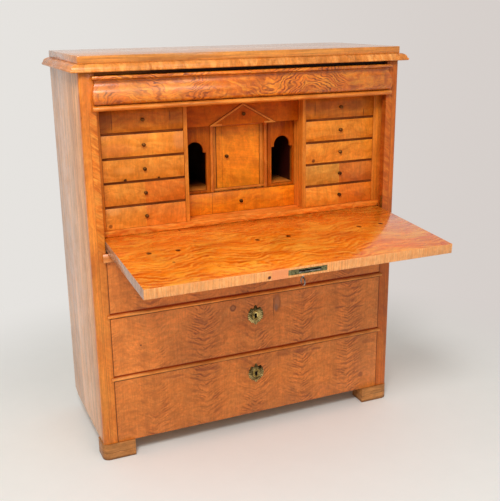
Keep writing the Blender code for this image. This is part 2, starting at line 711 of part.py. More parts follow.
def escutcheon_points():
    """A wreath of small leaf tips with a spike at its head, a scroll at each shoulder and a pointed foot."""
    points = []
    count = 64
    for i in range(count):
        angle = 2 * math.pi * i / count
        radius = RIM_SHARE + RIM_LEAF_SHARE * math.cos(RIM_LEAVES * angle)
        for place, width, height in RIM_SHARES:
            radius += lobe(angle, place, width, height)
        points.append((radius * ESCUTCHEON_HALF_WIDTH * math.cos(angle),
                       radius * ESCUTCHEON_HALF_HEIGHT * math.sin(angle)))
    return points


def oval_points(half_width, half_height):
    angles = [2 * math.pi * i / ROUND_SIDES for i in range(ROUND_SIDES)]
    return [(half_width * math.cos(a), half_height * math.sin(a)) for a in angles]


def escutcheon(name, location, parent, turn):
    """A cast brass plate with a raised oval round its keyhole; the location is on its back face."""
    holder = Matrix.Rotation(turn, 4, "X")
    plate = prism(name, escutcheon_points(), ESCUTCHEON_THICKNESS, holder, location, parent)
    fuse(plate, prism(name + "_boss", oval_points(BOSS_HALF_WIDTH, BOSS_HALF_HEIGHT),
                      ESCUTCHEON_THICKNESS + BOSS_PROUD, holder, location, parent))
    through = ESCUTCHEON_THICKNESS + BOSS_PROUD + 2 * OVERRUN
    slot = prism(name + "_keyhole", keyhole_points(1, KEYHOLE_GAP), through,
                 Matrix.Translation((0, 0, -OVERRUN)), location, parent)
    slot.data.transform(holder)
    return finish(cut(plate, slot), BRASS, 0.35, 1.0)


def long_drawer(name, low, high, box_floor, plate_name):
    """One of the three long drawers: a flush veneered front with a lock escutcheon at its middle."""
    half = LONG_HALF
    box = (-half + JOINT_GAP, half - JOINT_GAP)
    lock_z = high - ESCUTCHEON_BELOW_TOP
    piece = drawer(name, (-half, half), box, 0, (low, high), (box_floor, high - LONG_BOX_DROP), LONG_WALL,
                   LONG_FLOOR, LONG_FRONT_THICKNESS, BIRCH_DARK, LONG_DRAWER_END)
    cut(piece, keyhole_cutter(name + "_keyhole", ESCUTCHEON_X, lock_z))
    escutcheon(plate_name, (ESCUTCHEON_X, -JOINT_GAP, lock_z), CASE, math.radians(90))
    return piece


long_drawer("upper_long_drawer", UPPER_RAIL_Z + UPPER_RAIL + JOINT_GAP, SILL_RAIL_Z - DRAWER_TOP_GAP,
            UPPER_RAIL_Z + UPPER_RAIL + JOINT_GAP, "upper_escutcheon")
long_drawer("middle_long_drawer", LOWER_RAIL_Z + LOWER_RAIL + JOINT_GAP, UPPER_RAIL_Z - DRAWER_TOP_GAP,
            LOWER_RAIL_Z + LOWER_RAIL + JOINT_GAP, "middle_escutcheon")
long_drawer("lower_long_drawer", FRAME_BOTTOM, LOWER_RAIL_Z - DRAWER_TOP_GAP,
            FRAME_BOTTOM + BOTTOM_THICKNESS + JOINT_GAP, "lower_escutcheon")


def frieze_section(height):
    """Shares of the projection with their heights: a cushion, a shallow cove over it and a lip on top."""
    cushion = height - FRIEZE_COVE_HEIGHT - FRIEZE_LIP_HEIGHT
    section = [(share, cushion * up) for share, up in CUSHION_SHARES]
    section += [(share, cushion + FRIEZE_COVE_HEIGHT * up) for share, up in COVE_SHARES]
    section += [(share, height - FRIEZE_LIP_HEIGHT * (1 - up)) for share, up in LIP_SHARES]
    return section


def frieze_drawer():
    """The drawer over the fall: its front is a moulding with returned ends, lapped over the stiles."""
    low = FRIEZE_RAIL_Z + FRIEZE_RAIL + JOINT_GAP
    high = TOP_RAIL_Z - DRAWER_TOP_GAP / 2
    half = LONG_HALF
    box = (-half + JOINT_GAP, half - JOINT_GAP)
    piece = drawer("frieze_drawer", (-half, half), box, 0, (low, high), (low, high - LONG_BOX_DROP),
                   LONG_WALL, LONG_FLOOR, LONG_FRONT_THICKNESS, BIRCH, LONG_DRAWER_END)
    core_half = STILE_INNER + FRIEZE_FRONT_LAP - FRIEZE_FRONT_RETURN
    face = returned("frieze_cushion", frieze_section(high - low), core_half, FRIEZE_FRONT_RETURN,
                    FRIEZE_FRONT_PROUD, -JOINT_GAP, low)
    core = block("frieze_core", (-half + OVERRUN, half - OVERRUN), (-RAIL_LIP, OVERRUN),
                 (low + OVERRUN, high - OVERRUN))
    fuse(piece, core)
    return fuse(piece, face)


frieze_drawer()


def small_drawer(name, x, y, z, box_z, knob_x, colour=BIRCH):
    """A nest drawer with a turned knob."""
    box = (x[0] + JOINT_GAP, x[1] - JOINT_GAP)
    thickness = SMALL_FRONT_THICKNESS if y == BANK_FRONT else CENTRE_FRONT_THICKNESS
    piece = drawer(name, x, box, y, z, box_z, SMALL_WALL, SMALL_FLOOR, thickness, colour, SMALL_BOX_END)
    if knob_x is not None:
        fuse(piece, knob(name + "_knob", (knob_x, y, (z[0] + z[1]) / 2), CASE))
    return piece


def bank(word, side):
    """Five drawers over each other, numbered from the top, in a rack of thin shelves."""
    low_x = PARTITION_OUTER + SMALL_SIDE_GAP
    high_x = BANK_OUTER - SMALL_SIDE_GAP
    for row in range(BANK_ROWS):
        floor = NEST_FLOOR + row * ROW_PITCH
        ceiling = floor + ROW_PITCH
        top = NEST_DRAWER_TOP if row == BANK_ROWS - 1 else ceiling - RACK_SHELF - SMALL_FRONT_GAP
        small_drawer(f"{word}_drawer_{BANK_ROWS - row}", mirrored((low_x, high_x), side), BANK_FRONT,
                     (floor + SMALL_FOOT_GAP, top),
                     (floor + JOINT_GAP, ceiling - RACK_SHELF - 2 * SMALL_FRONT_GAP), side * BANK_KNOB_X)
    inner = (PARTITION_OUTER + JOINT_GAP, BANK_OUTER - JOINT_GAP)
    front = BANK_FRONT + RACK_EDGE_SET_BACK
    rack = block(f"{word}_rack", mirrored(inner, side), (RACK_BACK_FRONT, RACK_BACK_FRONT + RACK_BACK),
                 (NEST_BASE, NEST_TOP - JOINT_GAP))
    for row in range(1, BANK_ROWS):
        floor = NEST_FLOOR + row * ROW_PITCH
        fuse(rack, block(f"{word}_shelf_{row}", mirrored(inner, side), (front, RACK_BACK_FRONT + OVERRUN),
                         (floor - RACK_SHELF, floor)))
    return finish(rack, PINE, 0.6)


bank("left", -1)
bank("right", 1)

# Fixed boards of the nest
finish(block("nest_bottom", (-BOARD_HALF, BOARD_HALF), (NEST_BOTTOM_FRONT, BOARD_END),
             (NEST_BOTTOM_Z, NEST_FLOOR)), BIRCH, 0.4)


def nest_side(name, side):
    """An outer board of the nest with a filler strip that closes the way past its front edge."""
    z = (NEST_BASE, NEST_TOP)
    board = block(name, mirrored((BANK_OUTER, BANK_OUTER + NEST_SIDE_THICKNESS), side),
                  (NEST_SIDE_FRONT, BOARD_END), z)
    filler = block(name + "_filler", mirrored((BANK_OUTER + OVERRUN, BOARD_HALF), side),
                   (NEST_SIDE_FRONT, NEST_SIDE_FRONT + NEST_SIDE_FILLER_DEPTH), z)
    return finish(fuse(board, filler), BIRCH, 0.4)


nest_side("nest_left_side", -1)
nest_side("nest_right_side", 1)
for word, side in (("left", -1), ("right", 1)):
    finish(block(f"{word}_partition", mirrored((PARTITION_INNER, PARTITION_OUTER), side),
                 (NEST_SIDE_FRONT, BOARD_END), (NEST_BASE, NEST_TOP)), BIRCH, 0.4)

shelf_half = PARTITION_INNER - JOINT_GAP
for name, low in (("lower_shelf", LOW_SHELF_Z), ("upper_shelf", HIGH_SHELF_Z)):
    finish(block(name, (-shelf_half, shelf_half), (FACADE_BACK, BOARD_END), (low, low + SHELF_THICKNESS)),
           BIRCH, 0.42)
small_drawer("centre_drawer", (-CENTRE_HALF, CENTRE_HALF), CENTRE_DRAWER_FRONT,
             (NEST_BASE, LOW_SHELF_Z - JOINT_GAP), (NEST_BASE, LOW_SHELF_Z - SMALL_FRONT_GAP), 0)


# Pediment drawer: a full-width front that carries a low gable in applied mouldings
def pediment_drawer():
    low = HIGH_SHELF_TOP + JOINT_GAP
    high = NEST_DRAWER_TOP
    y = PEDIMENT_DRAWER_FRONT
    piece = small_drawer("pediment_drawer", (-CENTRE_HALF, CENTRE_HALF), y, (low, high),
                         (low, high - SMALL_FRONT_GAP), None)
    half = CENTRE_HALF * PEDIMENT_WIDTH_SHARE
    rise = (high - low) * PEDIMENT_RISE_SHARE
    stub = half * PEDIMENT_STUB_SHARE
    gable = prism("gable", [(-half, 0), (half, 0), (0, rise)], PEDIMENT_PANEL_PROUD + OVERRUN, TOWARDS_FRONT,
                  (0, y + OVERRUN, low), CASE)
    fuse(piece, gable)
    slope = math.atan2(rise, half)
    drop = PEDIMENT_MOULD_WIDTH / math.cos(slope)
    run = PEDIMENT_MOULD_WIDTH / math.sin(slope)
    base = PEDIMENT_MOULD_WIDTH
    outer = [(-half, 0), (-half + stub, 0), (-half + stub, base),
             (-half + run + base / math.tan(slope), base), (0, rise - drop),
             (half - run - base / math.tan(slope), base), (half - stub, base),
             (half - stub, 0), (half, 0), (0, rise)]
    mould = prism("gable_mouldings", outer, PEDIMENT_MOULD_PROUD + OVERRUN, TOWARDS_FRONT,
                  (0, y + OVERRUN, low), CASE)
    fuse(piece, mould)
    return fuse(piece, knob("pediment_knob", (0, y - PEDIMENT_PANEL_PROUD, low + rise / 2), CASE))


pediment_drawer()


# Locker: two walls with pilaster strips, the door between them and the columns in front
def locker_wall(name, side):
    z = (LOCKER_FLOOR + JOINT_GAP, HIGH_SHELF_Z - JOINT_GAP)
    wall = block(name, mirrored((LOCKER_HALF_WIDTH, LOCKER_HALF_WIDTH + LOCKER_WALL), side),
                 (FACADE_BACK, BOARD_END), z)
    strip = block(name + "_pilaster", mirrored((LOCKER_HALF_WIDTH, LOCKER_HALF_WIDTH + PILASTER_WIDTH), side),
                  (FACADE_BACK, FACADE_BACK + PILASTER_DEPTH), z)
    return finish(fuse(wall, strip), BIRCH, 0.42)


def column(name, side):
    """A turned column between two square-shouldered rings."""
    low = LOW_SHELF_Z + JOINT_GAP
    high = HIGH_SHELF_TOP - JOINT_GAP
    block_z = COLUMN_BLOCK
    shaft = high - low - 2 * block_z
    profile = [(0, high - low), (COLUMN_RADIUS, high - low), (COLUMN_RADIUS, high - low - block_z)]
    profile += [(r * COLUMN_SHAFT_RADIUS, block_z + z * shaft) for r, z in COLUMN_SHARES]
    profile += [(COLUMN_RADIUS, block_z), (COLUMN_RADIUS, 0), (0, 0)]
    return finish(turned(name, profile, (side * COLUMN_X, COLUMN_Y, low), CASE), BIRCH, 0.34)


def arch_board(name, side):
    """A thin board with a shouldered round arch, in front of a pigeonhole."""
    low = LOW_SHELF_Z + JOINT_GAP
    high = HIGH_SHELF_TOP - JOINT_GAP
    inner, outer = ARCH_BOARD_INNER, PARTITION_INNER - JOINT_GAP
    y = FACADE_BACK - JOINT_GAP - ARCH_BOARD_THICKNESS
    board = block(name, mirrored((inner, outer), side), (y, y + ARCH_BOARD_THICKNESS), (low, high))
    left, right = inner + ARCH_SIDE_STILE, outer - ARCH_OUTER_STILE
    centre = (left + right) / 2
    arch_radius = (right - left) / 2 * ARCH_RADIUS_SHARE
    spring = high - ARCH_SPRING_BELOW_TOP
    shoulder = spring - ARCH_SHOULDER_DROP
    opening = [(left, low + ARCH_BOTTOM_RAIL), (right, low + ARCH_BOTTOM_RAIL), (right, shoulder),
               (centre + arch_radius, shoulder)]
    steps = 14
    for i in range(steps + 1):
        angle = math.pi * i / steps
        opening.append((centre + arch_radius * math.cos(angle), spring + arch_radius * math.sin(angle)))
    opening += [(centre - arch_radius, shoulder), (left, shoulder)]
    opening = [(side * x, z) for x, z in opening]
    hole = prism(name + "_opening", opening, ARCH_BOARD_THICKNESS + 2 * OVERRUN, TOWARDS_FRONT,
                 (0, y + ARCH_BOARD_THICKNESS + OVERRUN, 0), CASE)
    return finish(cut(board, hole), BIRCH_DARK, 0.4)


for word, side in (("left", -1), ("right", 1)):
    locker_wall(f"{word}_locker_wall", side)
    column(f"{word}_column", side)
    arch_board(f"{word}_arch_board", side)


def locker_door():
    """A small door that turns on pins let into the shelves above and below, close to its right edge."""
    pin_x = DOOR_HALF - DOOR_PIN_INSET
    pin_y = FACADE_BACK + DOOR_PIN_INSET
    low = LOCKER_FLOOR + DOOR_GAP
    high = HIGH_SHELF_Z - DOOR_GAP
    axis = empty("locker_axis", (pin_x, pin_y, low), CASE)
    door = block("locker_door", (-DOOR_HALF - pin_x, DOOR_HALF - pin_x), (FACADE_BACK - pin_y,
                 FACADE_BACK + DOOR_THICKNESS - pin_y), (0, high - low), parent=axis,
                 radius=DOOR_EDGE_RADIUS, segments=4,
                 edges=lambda a, b: a.z * b.z < 0 and a.x > 0 and b.x > 0 and a.y < 0 and b.y < 0)
    for end, word in ((0, "low"), (high - low, "high")):
        fuse(door, rod(f"door_pin_{word}", DOOR_PIN_RADIUS, 2 * DOOR_PIN_LENGTH, "Z", (0, 0, end), axis, 12))
    fuse(door, knob("door_knob", (-DOOR_HALF + DOOR_KNOB_FROM_EDGE - pin_x, FACADE_BACK - pin_y,
                                  (high - low) * DOOR_KNOB_HEIGHT_SHARE), axis))
    return finish(door, BIRCH, 0.36)


locker_door()
for shelf in ("lower_shelf", "upper_shelf"):
    level = LOCKER_FLOOR if shelf == "lower_shelf" else HIGH_SHELF_Z
    cut(bpy.data.objects[shelf],
        rod(shelf + "_pin_hole", DOOR_PIN_RADIUS + 2 * JOINT_GAP, 2 * DOOR_PIN_LENGTH + 2 * JOINT_GAP, "Z",
            (DOOR_HALF - DOOR_PIN_INSET, FACADE_BACK + DOOR_PIN_INSET, level), CASE, 12))

# Fall, in a frame whose origin is its axis: -Y is out towards its free edge and +Z its writing face
LOCK_FACE = -FALL_REACH
KEY_X = LOCK_X + KEY_OFFSET
BOLT_X = LOCK_X + BOLT_OFFSET


def fall_pivot(name, side):
    """A brass plate let into the stile, with a stud that the fall turns on."""
    half = PIVOT_PLATE_WIDTH / 2
    plate = block(name, mirrored((STILE_INNER, STILE_INNER + PIVOT_PLATE_THICKNESS), side),
                  (PIVOT_Y - half, PIVOT_Y + half),
                  (PIVOT_Z - PIVOT_PLATE_BELOW, PIVOT_Z + PIVOT_PLATE_ABOVE))
    tip = STILE_INNER - PIVOT_STUD_LENGTH
    root = STILE_INNER + PIVOT_PLATE_THICKNESS / 2
    middle = (side * (root + tip) / 2, PIVOT_Y, PIVOT_Z)
    stud = rod(name + "_stud", PIVOT_STUD_RADIUS, root - tip, "X", middle, CASE)
    return finish(fuse(plate, stud), BRASS, 0.4, 1.0)


fall_pivot("left_fall_pivot", -1)
fall_pivot("right_fall_pivot", 1)


def lock_block(name, x, width, height, front, depth, grow=0.0):
    """A block about x in the middle of the fall's thickness, from front to front + depth along the fall."""
    return block(name, (x - width / 2 - grow, x + width / 2 + grow), (front, front + depth + grow),
                 (FALL_MIDDLE - height / 2 - grow, FALL_MIDDLE + height / 2 + grow), parent=FALL_AXIS)


def key_way(name, low, high, gap):
    """A keyhole shaped cutter through the fall, whose slot points back from the free edge."""
    points = [(x, -z) for x, z in keyhole_points(1, gap)]
    return prism(name, points, high - low, Matrix.Identity(4), (KEY_X, LOCK_FACE + KEY_INSET, low), FALL_AXIS)


def fall():
    board = block("fall_front", (-FALL_HALF, FALL_HALF), (-FALL_REACH, FALL_HEEL),
                  (FALL_OUTER, PIVOT_FROM_WRITING_FACE), parent=FALL_AXIS, radius=FALL_EDGE_RADIUS,
                  segments=2, edges=lambda a, b: a.y < 0 and b.y < 0 and a.z * b.z > 0)
    for side, word in ((-1, "left"), (1, "right")):
        inner = STILE_INNER - PIVOT_STUD_LENGTH - JOINT_GAP
        outer = FALL_HALF + OVERRUN
        cut(board, rod(f"{word}_stud_bore", PIVOT_STUD_RADIUS + STUD_BORE_GAP, outer - inner, "X",
                       (side * (outer + inner) / 2, 0, 0), FALL_AXIS))
    cut(board, lock_block("plate_recess", LOCK_X, LOCK_PLATE_WIDTH, LOCK_PLATE_HEIGHT, LOCK_FACE - OVERRUN,
                          LOCK_PLATE_THICKNESS + OVERRUN, JOINT_GAP))
    cut(board, lock_block("case_mortise", LOCK_X, LOCK_CASE_WIDTH, LOCK_CASE_HEIGHT, LOCK_FACE - OVERRUN,
                          LOCK_CASE_DEPTH + OVERRUN, JOINT_GAP))
    cut(board, key_way("fall_keyhole", FALL_OUTER - OVERRUN, FALL_MIDDLE, KEYHOLE_GAP))
    return finish(board, BIRCH, 0.25)


fall()


def lock():
    """A cut lock: a face plate on the free edge and a case behind it with the bolt's pocket."""
    plate = lock_block("fall_lock", LOCK_X, LOCK_PLATE_WIDTH, LOCK_PLATE_HEIGHT, LOCK_FACE,
                       LOCK_PLATE_THICKNESS)
    fuse(plate, lock_block("lock_case", LOCK_X, LOCK_CASE_WIDTH, LOCK_CASE_HEIGHT, LOCK_FACE + OVERRUN,
                           LOCK_CASE_DEPTH - OVERRUN))
    height = LOCK_CASE_HEIGHT - 2 * LOCK_CASE_WALL
    cut(plate, lock_block("bolt_pocket", BOLT_X, BOLT_WIDTH + 2 * BOLT_GAP, height, LOCK_FACE - OVERRUN,
                          LOCK_CASE_DEPTH + OVERRUN - LOCK_CASE_WALL))
    cut(plate, key_way("lock_keyhole", FALL_MIDDLE - LOCK_CASE_HEIGHT, FALL_MIDDLE, KEYHOLE_GAP / 2))
    return finish(plate, BRASS, 0.4, 1.0)


lock()
bolt_height = LOCK_CASE_HEIGHT - 2 * LOCK_CASE_WALL - 2 * BOLT_GAP
finish(lock_block("fall_bolt", BOLT_X, BOLT_WIDTH, bolt_height, LOCK_FACE + BOLT_FROM_FACE, BOLT_LENGTH),
       STEEL, 0.35, 1.0)


def key():
    """The key in the lock: its bit lies behind the bolt and its bow hangs below the lowered fall."""
    axis = empty("key_axis", (KEY_X, LOCK_FACE + KEY_INSET, 0), FALL_AXIS)
    top = FALL_MIDDLE + KEY_BIT_HEIGHT / 2
    foot = FALL_OUTER - KEY_NECK
    shaft = rod("fall_key", KEY_SHAFT_RADIUS, top - foot, "Z", (0, 0, (top + foot) / 2), axis, 16)
    half = KEY_BIT_THICKNESS / 2
    fuse(shaft, block("key_bit", (-half, half), (0, KEY_BIT_REACH), (FALL_MIDDLE - KEY_BIT_HEIGHT / 2, top),
                      parent=axis))
    bow_z = foot - KEY_BOW_RADIUS
    mesh = bpy.data.meshes.new("key_bow")
    bm = bmesh.new()
    rings = 20
    wire_sides = 8
    for i in range(rings):
        angle = 2 * math.pi * i / rings
        for j in range(wire_sides):
            around = 2 * math.pi * j / wire_sides
            out = KEY_BOW_RADIUS + KEY_BOW_WIRE * math.cos(around)
            bm.verts.new((KEY_BOW_WIRE * math.sin(around), out * math.cos(angle), out * math.sin(angle)))
    bm.verts.ensure_lookup_table()
    for i in range(rings):
        for j in range(wire_sides):
            a = i * wire_sides + j
            b = i * wire_sides + (j + 1) % wire_sides
            c = (i + 1) % rings * wire_sides + (j + 1) % wire_sides
            d = (i + 1) % rings * wire_sides + j
            bm.faces.new([bm.verts[k] for k in (a, b, c, d)])
    bmesh.ops.recalc_face_normals(bm, faces=list(bm.faces))
    bm.to_mesh(mesh)
    bm.free()
    fuse(shaft, tool("key_bow", mesh, (0, 0, bow_z), axis))
    return finish(shaft, STEEL, 0.4, 1.0)


key()
escutcheon("fall_escutcheon", (KEY_X, LOCK_FACE + KEY_INSET, FALL_OUTER - JOINT_GAP), FALL_AXIS, math.pi)
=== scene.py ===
import math

import bpy
from mathutils import Matrix, Vector


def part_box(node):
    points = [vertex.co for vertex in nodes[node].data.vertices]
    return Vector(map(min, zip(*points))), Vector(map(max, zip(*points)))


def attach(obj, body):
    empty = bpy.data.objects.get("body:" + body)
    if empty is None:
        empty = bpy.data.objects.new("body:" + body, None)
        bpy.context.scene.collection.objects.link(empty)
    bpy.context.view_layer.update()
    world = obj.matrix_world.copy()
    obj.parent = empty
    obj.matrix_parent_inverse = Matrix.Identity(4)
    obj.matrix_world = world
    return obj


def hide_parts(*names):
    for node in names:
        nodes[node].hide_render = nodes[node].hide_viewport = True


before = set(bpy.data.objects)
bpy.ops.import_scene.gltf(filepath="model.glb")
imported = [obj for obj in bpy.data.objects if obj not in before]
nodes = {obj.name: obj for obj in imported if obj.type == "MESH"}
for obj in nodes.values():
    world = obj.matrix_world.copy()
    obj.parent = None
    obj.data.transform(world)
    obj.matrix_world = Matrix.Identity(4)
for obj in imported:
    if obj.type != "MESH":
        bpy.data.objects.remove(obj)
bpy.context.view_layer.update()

# Sides of the carcase: wide pine boards under birch veneer whose grain runs
# up, paler than the front: the pallor is a painted reflection of the pale room.
# They are glued behind the front stiles, and their polish mirrors the room too.

SIDE_PIN_KNOTS = ((0.21, 1.02), (0.33, 0.58), (0.30, 0.44), (0.12, 0.83))  # depth, height


def shade(code):
    """The colour of a swatch written as six hexadecimal digits."""
    parts = [int(code[i:i + 2], 16) / 255 for i in (0, 2, 4)]
    return tuple(c / 12.92 if c <= 0.04045 else ((c + 0.055) / 1.055) ** 2.4 for c in parts) + (1.0,)


def feed(node, feeds):
    """Gives a node's inputs their values, or the sockets that drive them."""
    for name, value in feeds.items():
        if isinstance(value, bpy.types.NodeSocket):
            node.id_data.links.new(value, node.inputs[name])
        else:
            node.inputs[name].default_value = value
    return node


def put(kind, feeds, tree=None, **settings):
    """Adds a node to the tree of the sockets that feed it, or to the tree given."""
    if tree is None:
        tree = next(v for v in feeds.values() if isinstance(v, bpy.types.NodeSocket)).id_data
    made = tree.nodes.new("ShaderNode" + kind)
    for name, value in settings.items():
        setattr(made, name, value)
    return feed(made, feeds)


def sums(how, *values):
    """The result of one Math node."""
    return put("Math", dict(enumerate(values)), operation=how).outputs[0]


def less(value, other):
    """A value with another taken from it."""
    return sums("SUBTRACT", value, other)


def times(value, *others):
    """Several masks or gains multiplied together."""
    for other in others:
        value = sums("MULTIPLY", value, other)
    return value


def vectors(how, *places):
    """The result of one VectorMath node: a place, or a number for a length or a dot product."""
    made = put("VectorMath", dict(enumerate(places)), operation=how)
    return made.outputs["Value" if how in ("LENGTH", "DOT_PRODUCT") else "Vector"]


def scaled(colour, gain):
    """A colour made lighter or darker."""
    return put("VectorMath", {0: colour, "Scale": gain}, operation="SCALE").outputs[0]


def between(value, low, high, to_low=0.0, to_high=1.0):
    """A value taken smoothly from one span to another, and held at its ends."""
    ends = {"Value": value, "From Min": low, "From Max": high, "To Min": to_low, "To Max": to_high}
    return put("MapRange", ends, interpolation_type="SMOOTHSTEP", clamp=True).outputs["Result"]


def noise(spot, scale=1.0, detail=2.0, rough=0.5, distortion=0.0):
    """Clouds between 0 and 1."""
    look = {"Vector": spot, "Scale": scale, "Detail": detail, "Roughness": rough, "Distortion": distortion}
    return put("TexNoise", look).outputs["Fac"]


def mixed(share, first, second, how="MIX"):
    """Two colours, or the codes of swatches, laid over each other."""
    first, second = (shade(colour) if isinstance(colour, str) else colour for colour in (first, second))
    return put("Mix", {0: share, 6: first, 7: second}, data_type="RGBA", blend_type=how).outputs[2]


def parts_of(spot):
    """The three numbers of a place."""
    return put("SeparateXYZ", {"Vector": spot}).outputs


def placed(x, y, z):
    """A place put together from three numbers."""
    return put("CombineXYZ", {"X": x, "Y": y, "Z": z}).outputs[0]


def blot(spot, centre, reach, rough=0.5, scale=90.0):
    """A ragged spot about a place: reach gives its half size along each axis."""
    off = vectors("LENGTH", vectors("DIVIDE", vectors("SUBTRACT", spot, centre), reach))
    edge, soft = 1 + rough * 0.5, 0.35
    return between(sums("MULTIPLY_ADD", noise(spot, scale), rough, off), edge - soft, edge + soft, 1, 0)


def open_group(name, takes, gives):
    """Starts a shader node group: its tree, the sockets of its inputs, and the node for its results."""
    tree = bpy.data.node_groups.new(name, "ShaderNodeTree")
    for label, value in takes.items():
        kind = "NodeSocketVector" if isinstance(value, tuple) else "NodeSocketFloat"
        tree.interface.new_socket(label, in_out="INPUT", socket_type=kind).default_value = value
    for label in gives:
        tree.interface.new_socket(label, in_out="OUTPUT", socket_type="NodeSocketFloat")
    return tree, tree.nodes.new("NodeGroupInput").outputs, tree.nodes.new("NodeGroupOutput")


def birch_fibre():
    """Straight fibres along the board: fine threads with broader, fainter streaks between them."""
    takes = {"Board": (0, 0, 0), "Streaks": 60.0}
    tree, taken, given = open_group("birch fibre", takes, ["Thread", "Streak"])
    fine = vectors("MULTIPLY", taken["Board"], (9, 520, 520))
    wide = vectors("MULTIPLY", taken["Board"], placed(2.6, taken["Streaks"], taken["Streaks"]))
    feed(given, {"Thread": between(noise(fine, 1, 3, 0.6), 0.28, 0.72),
                 "Streak": between(noise(wide, 1, 4, 0.65, 0.3), 0.26, 0.74)})
    return tree


def birch_flame():
    """Curly figure: thin dark lines that wander like contours and fold into feathers, over a ripple."""
    takes = {"Board": (0, 0, 0), "Lines": 60.0, "Wander": 5.0, "Slope": 0.0, "Fold Place": 0.0,
             "Fold Pitch": 9.0, "Breaks": 0.5, "Patches": 0.6}
    tree, taken, given = open_group("birch flame", takes, ["Ripple", "Flame", "Off"])
    board, lines = taken["Board"], taken["Lines"]
    x, y, z = parts_of(board)
    bent = vectors("MULTIPLY", board, (1, 2, 1))
    drift = sums("ADD", less(noise(bent, 6, 1.5), 0.5), times(less(noise(bent, 22), 0.5), 0.35))
    off = sums("PINGPONG", less(x, taken["Fold Place"]), times(taken["Fold Pitch"], 0.5))
    folded = less(y, times(off, taken["Slope"]))
    level = sums("ADD", times(folded, lines), times(drift, taken["Wander"]))
    line = between(sums("SINE", times(level, math.tau)), -0.1, 0.95)
    gaps = noise(vectors("MULTIPLY", board, (30, 62, 30)))
    kept = less(1.0, times(taken["Breaks"], between(gaps, 0.44, 0.6, 1, 0)))
    here = less(1.0, times(taken["Patches"], between(noise(board, 8.5, 2.5), 0.42, 0.58, 1, 0)))
    drawn = placed(times(x, lines, 0.2), times(level, 0.8), times(z, 12.0))
    feed(given, {"Ripple": between(noise(drawn, 1, 2.6, 0.55, 0.4), 0.3, 0.7),
                 "Flame": times(line, kept, here), "Off": off})
    return tree


def polish_wear():
    """Old shellac: broad tone, faint blotches and a few dust specks, for colour and for gloss."""
    tree, taken, given = open_group("polish wear", {"Position": (0, 0, 0), "Size": 3.0},
                                    ["Tone", "Blotch", "Speck"])
    at = taken["Position"]
    dot = between(put("TexVoronoi", {"Vector": at, "Scale": 85.0}).outputs["Distance"], 0.05, 0.16, 1, 0)
    feed(given, {"Tone": between(noise(at, taken["Size"], 3, 0.55), 0.25, 0.75),
                 "Blotch": between(noise(at, 19, 4, 0.7), 0.3, 0.75),
                 "Speck": times(dot, between(noise(at, 31), 0.6, 0.67))})
    return tree


FIBRE = birch_fibre()
FLAME = birch_flame()
WEAR = polish_wear()


def laid(spot, grain, shift=(0, 0, 0), turn=0.0):
    """Board coordinates: grain names the axes along it, across it and through it; turn swings it."""
    split = parts_of(spot)
    return put("Mapping", {"Vector": placed(*(split[axis] for axis in grain)), "Location": shift,
                           "Rotation": (0, 0, math.radians(turn))}).outputs["Vector"]


def figured(board, **figure):
    """The results of the curly figure, its settings named as the group's inputs are."""
    settings = {label.replace("_", " ").title(): value for label, value in figure.items()}
    return put("Group", {"Board": board, **settings}, node_tree=FLAME).outputs


def birch(board, swatches, ripple=0.8, flame=0.5, fibre=0.3, streaks=60.0, limit=None, mottle=0.2,
          threads_along=None, **figure):
    """Birch in four swatches, from its dark lines to its light; returns its colour and its threads."""
    line_tone, low_tone, tone, light_tone = (shade(code) for code in swatches.split())
    along = threads_along or board
    lines = put("Group", {"Board": along, "Streaks": streaks}, node_tree=FIBRE).outputs
    curl = figured(board, **figure)
    ramp = put("ValToRGB", {"Fac": sums("ADD", 0.5, times(less(curl["Ripple"], 0.5), ripple))})
    ramp.color_ramp.elements[0].color = low_tone
    ramp.color_ramp.elements[1].color = light_tone
    ramp.color_ramp.elements.new(0.5).color = tone
    strength = times(curl["Flame"], flame)
    if limit:
        strength = times(strength, between(curl["Off"], limit * 0.35, limit, 1, 0.12))
    drawn = mixed(strength, ramp.outputs["Color"], line_tone)
    speckle = noise(vectors("MULTIPLY", along, (85, 165, 165)), 1, 4, 0.7)
    gain = times(between(lines["Streak"], 0, 1, 1 - fibre * 0.5, 1 + fibre * 0.35),
                 between(lines["Thread"], 0, 1, 1 - fibre * 0.35, 1 + fibre * 0.2),
                 between(speckle, 0.3, 0.7, 1 - mottle * 0.6, 1 + mottle * 0.4))
    return scaled(drawn, gain), lines["Thread"]


def new_finish(name):
    """An empty finish: its shader, and the place on the piece that its nodes look up."""
    made = bpy.data.materials.new(name)
    made.use_nodes = True
    tree = made.node_tree
    return made, tree.nodes["Principled BSDF"], put("TexCoord", {}, tree).outputs["Object"]


def polished(name, face, tone=0.2, rough=0.36, polish=0.15, coat_rough=0.16, bump=0.12, shine=0.3):
    """A finish: face builds the bare wood's colour and threads, and old polish lies over it."""
    made, shader, spot = new_finish(name)
    bare, threads = face(spot)
    wear = put("Group", {"Position": spot}, node_tree=WEAR).outputs
    toned = scaled(bare, between(wear["Tone"], 0, 1, 1 - tone * 0.5, 1 + tone * 0.4))
    raised = put("Bump", {"Strength": bump, "Distance": 0.0004, "Height": threads})
    feed(shader, {"Base Color": mixed(times(wear["Speck"], 0.4), toned, "5A3010"),
                  "Roughness": between(wear["Blotch"], 0, 1, rough - 0.05, rough + 0.08),
                  "Normal": raised.outputs["Normal"], "Coat Weight": polish,
                  "Coat Roughness": coat_rough, "Specular IOR Level": shine})
    return made


def copied(piece, name, shift=None):
    """A second piece like this one, free of it, with its mesh moved by the shift."""
    made = piece.copy()
    made.data = piece.data.copy()
    made.name = name
    made.parent = None
    made.matrix_world = Matrix()
    if shift:
        made.data.transform(Matrix.Translation(shift))
    bpy.context.scene.collection.objects.link(made)
    return made


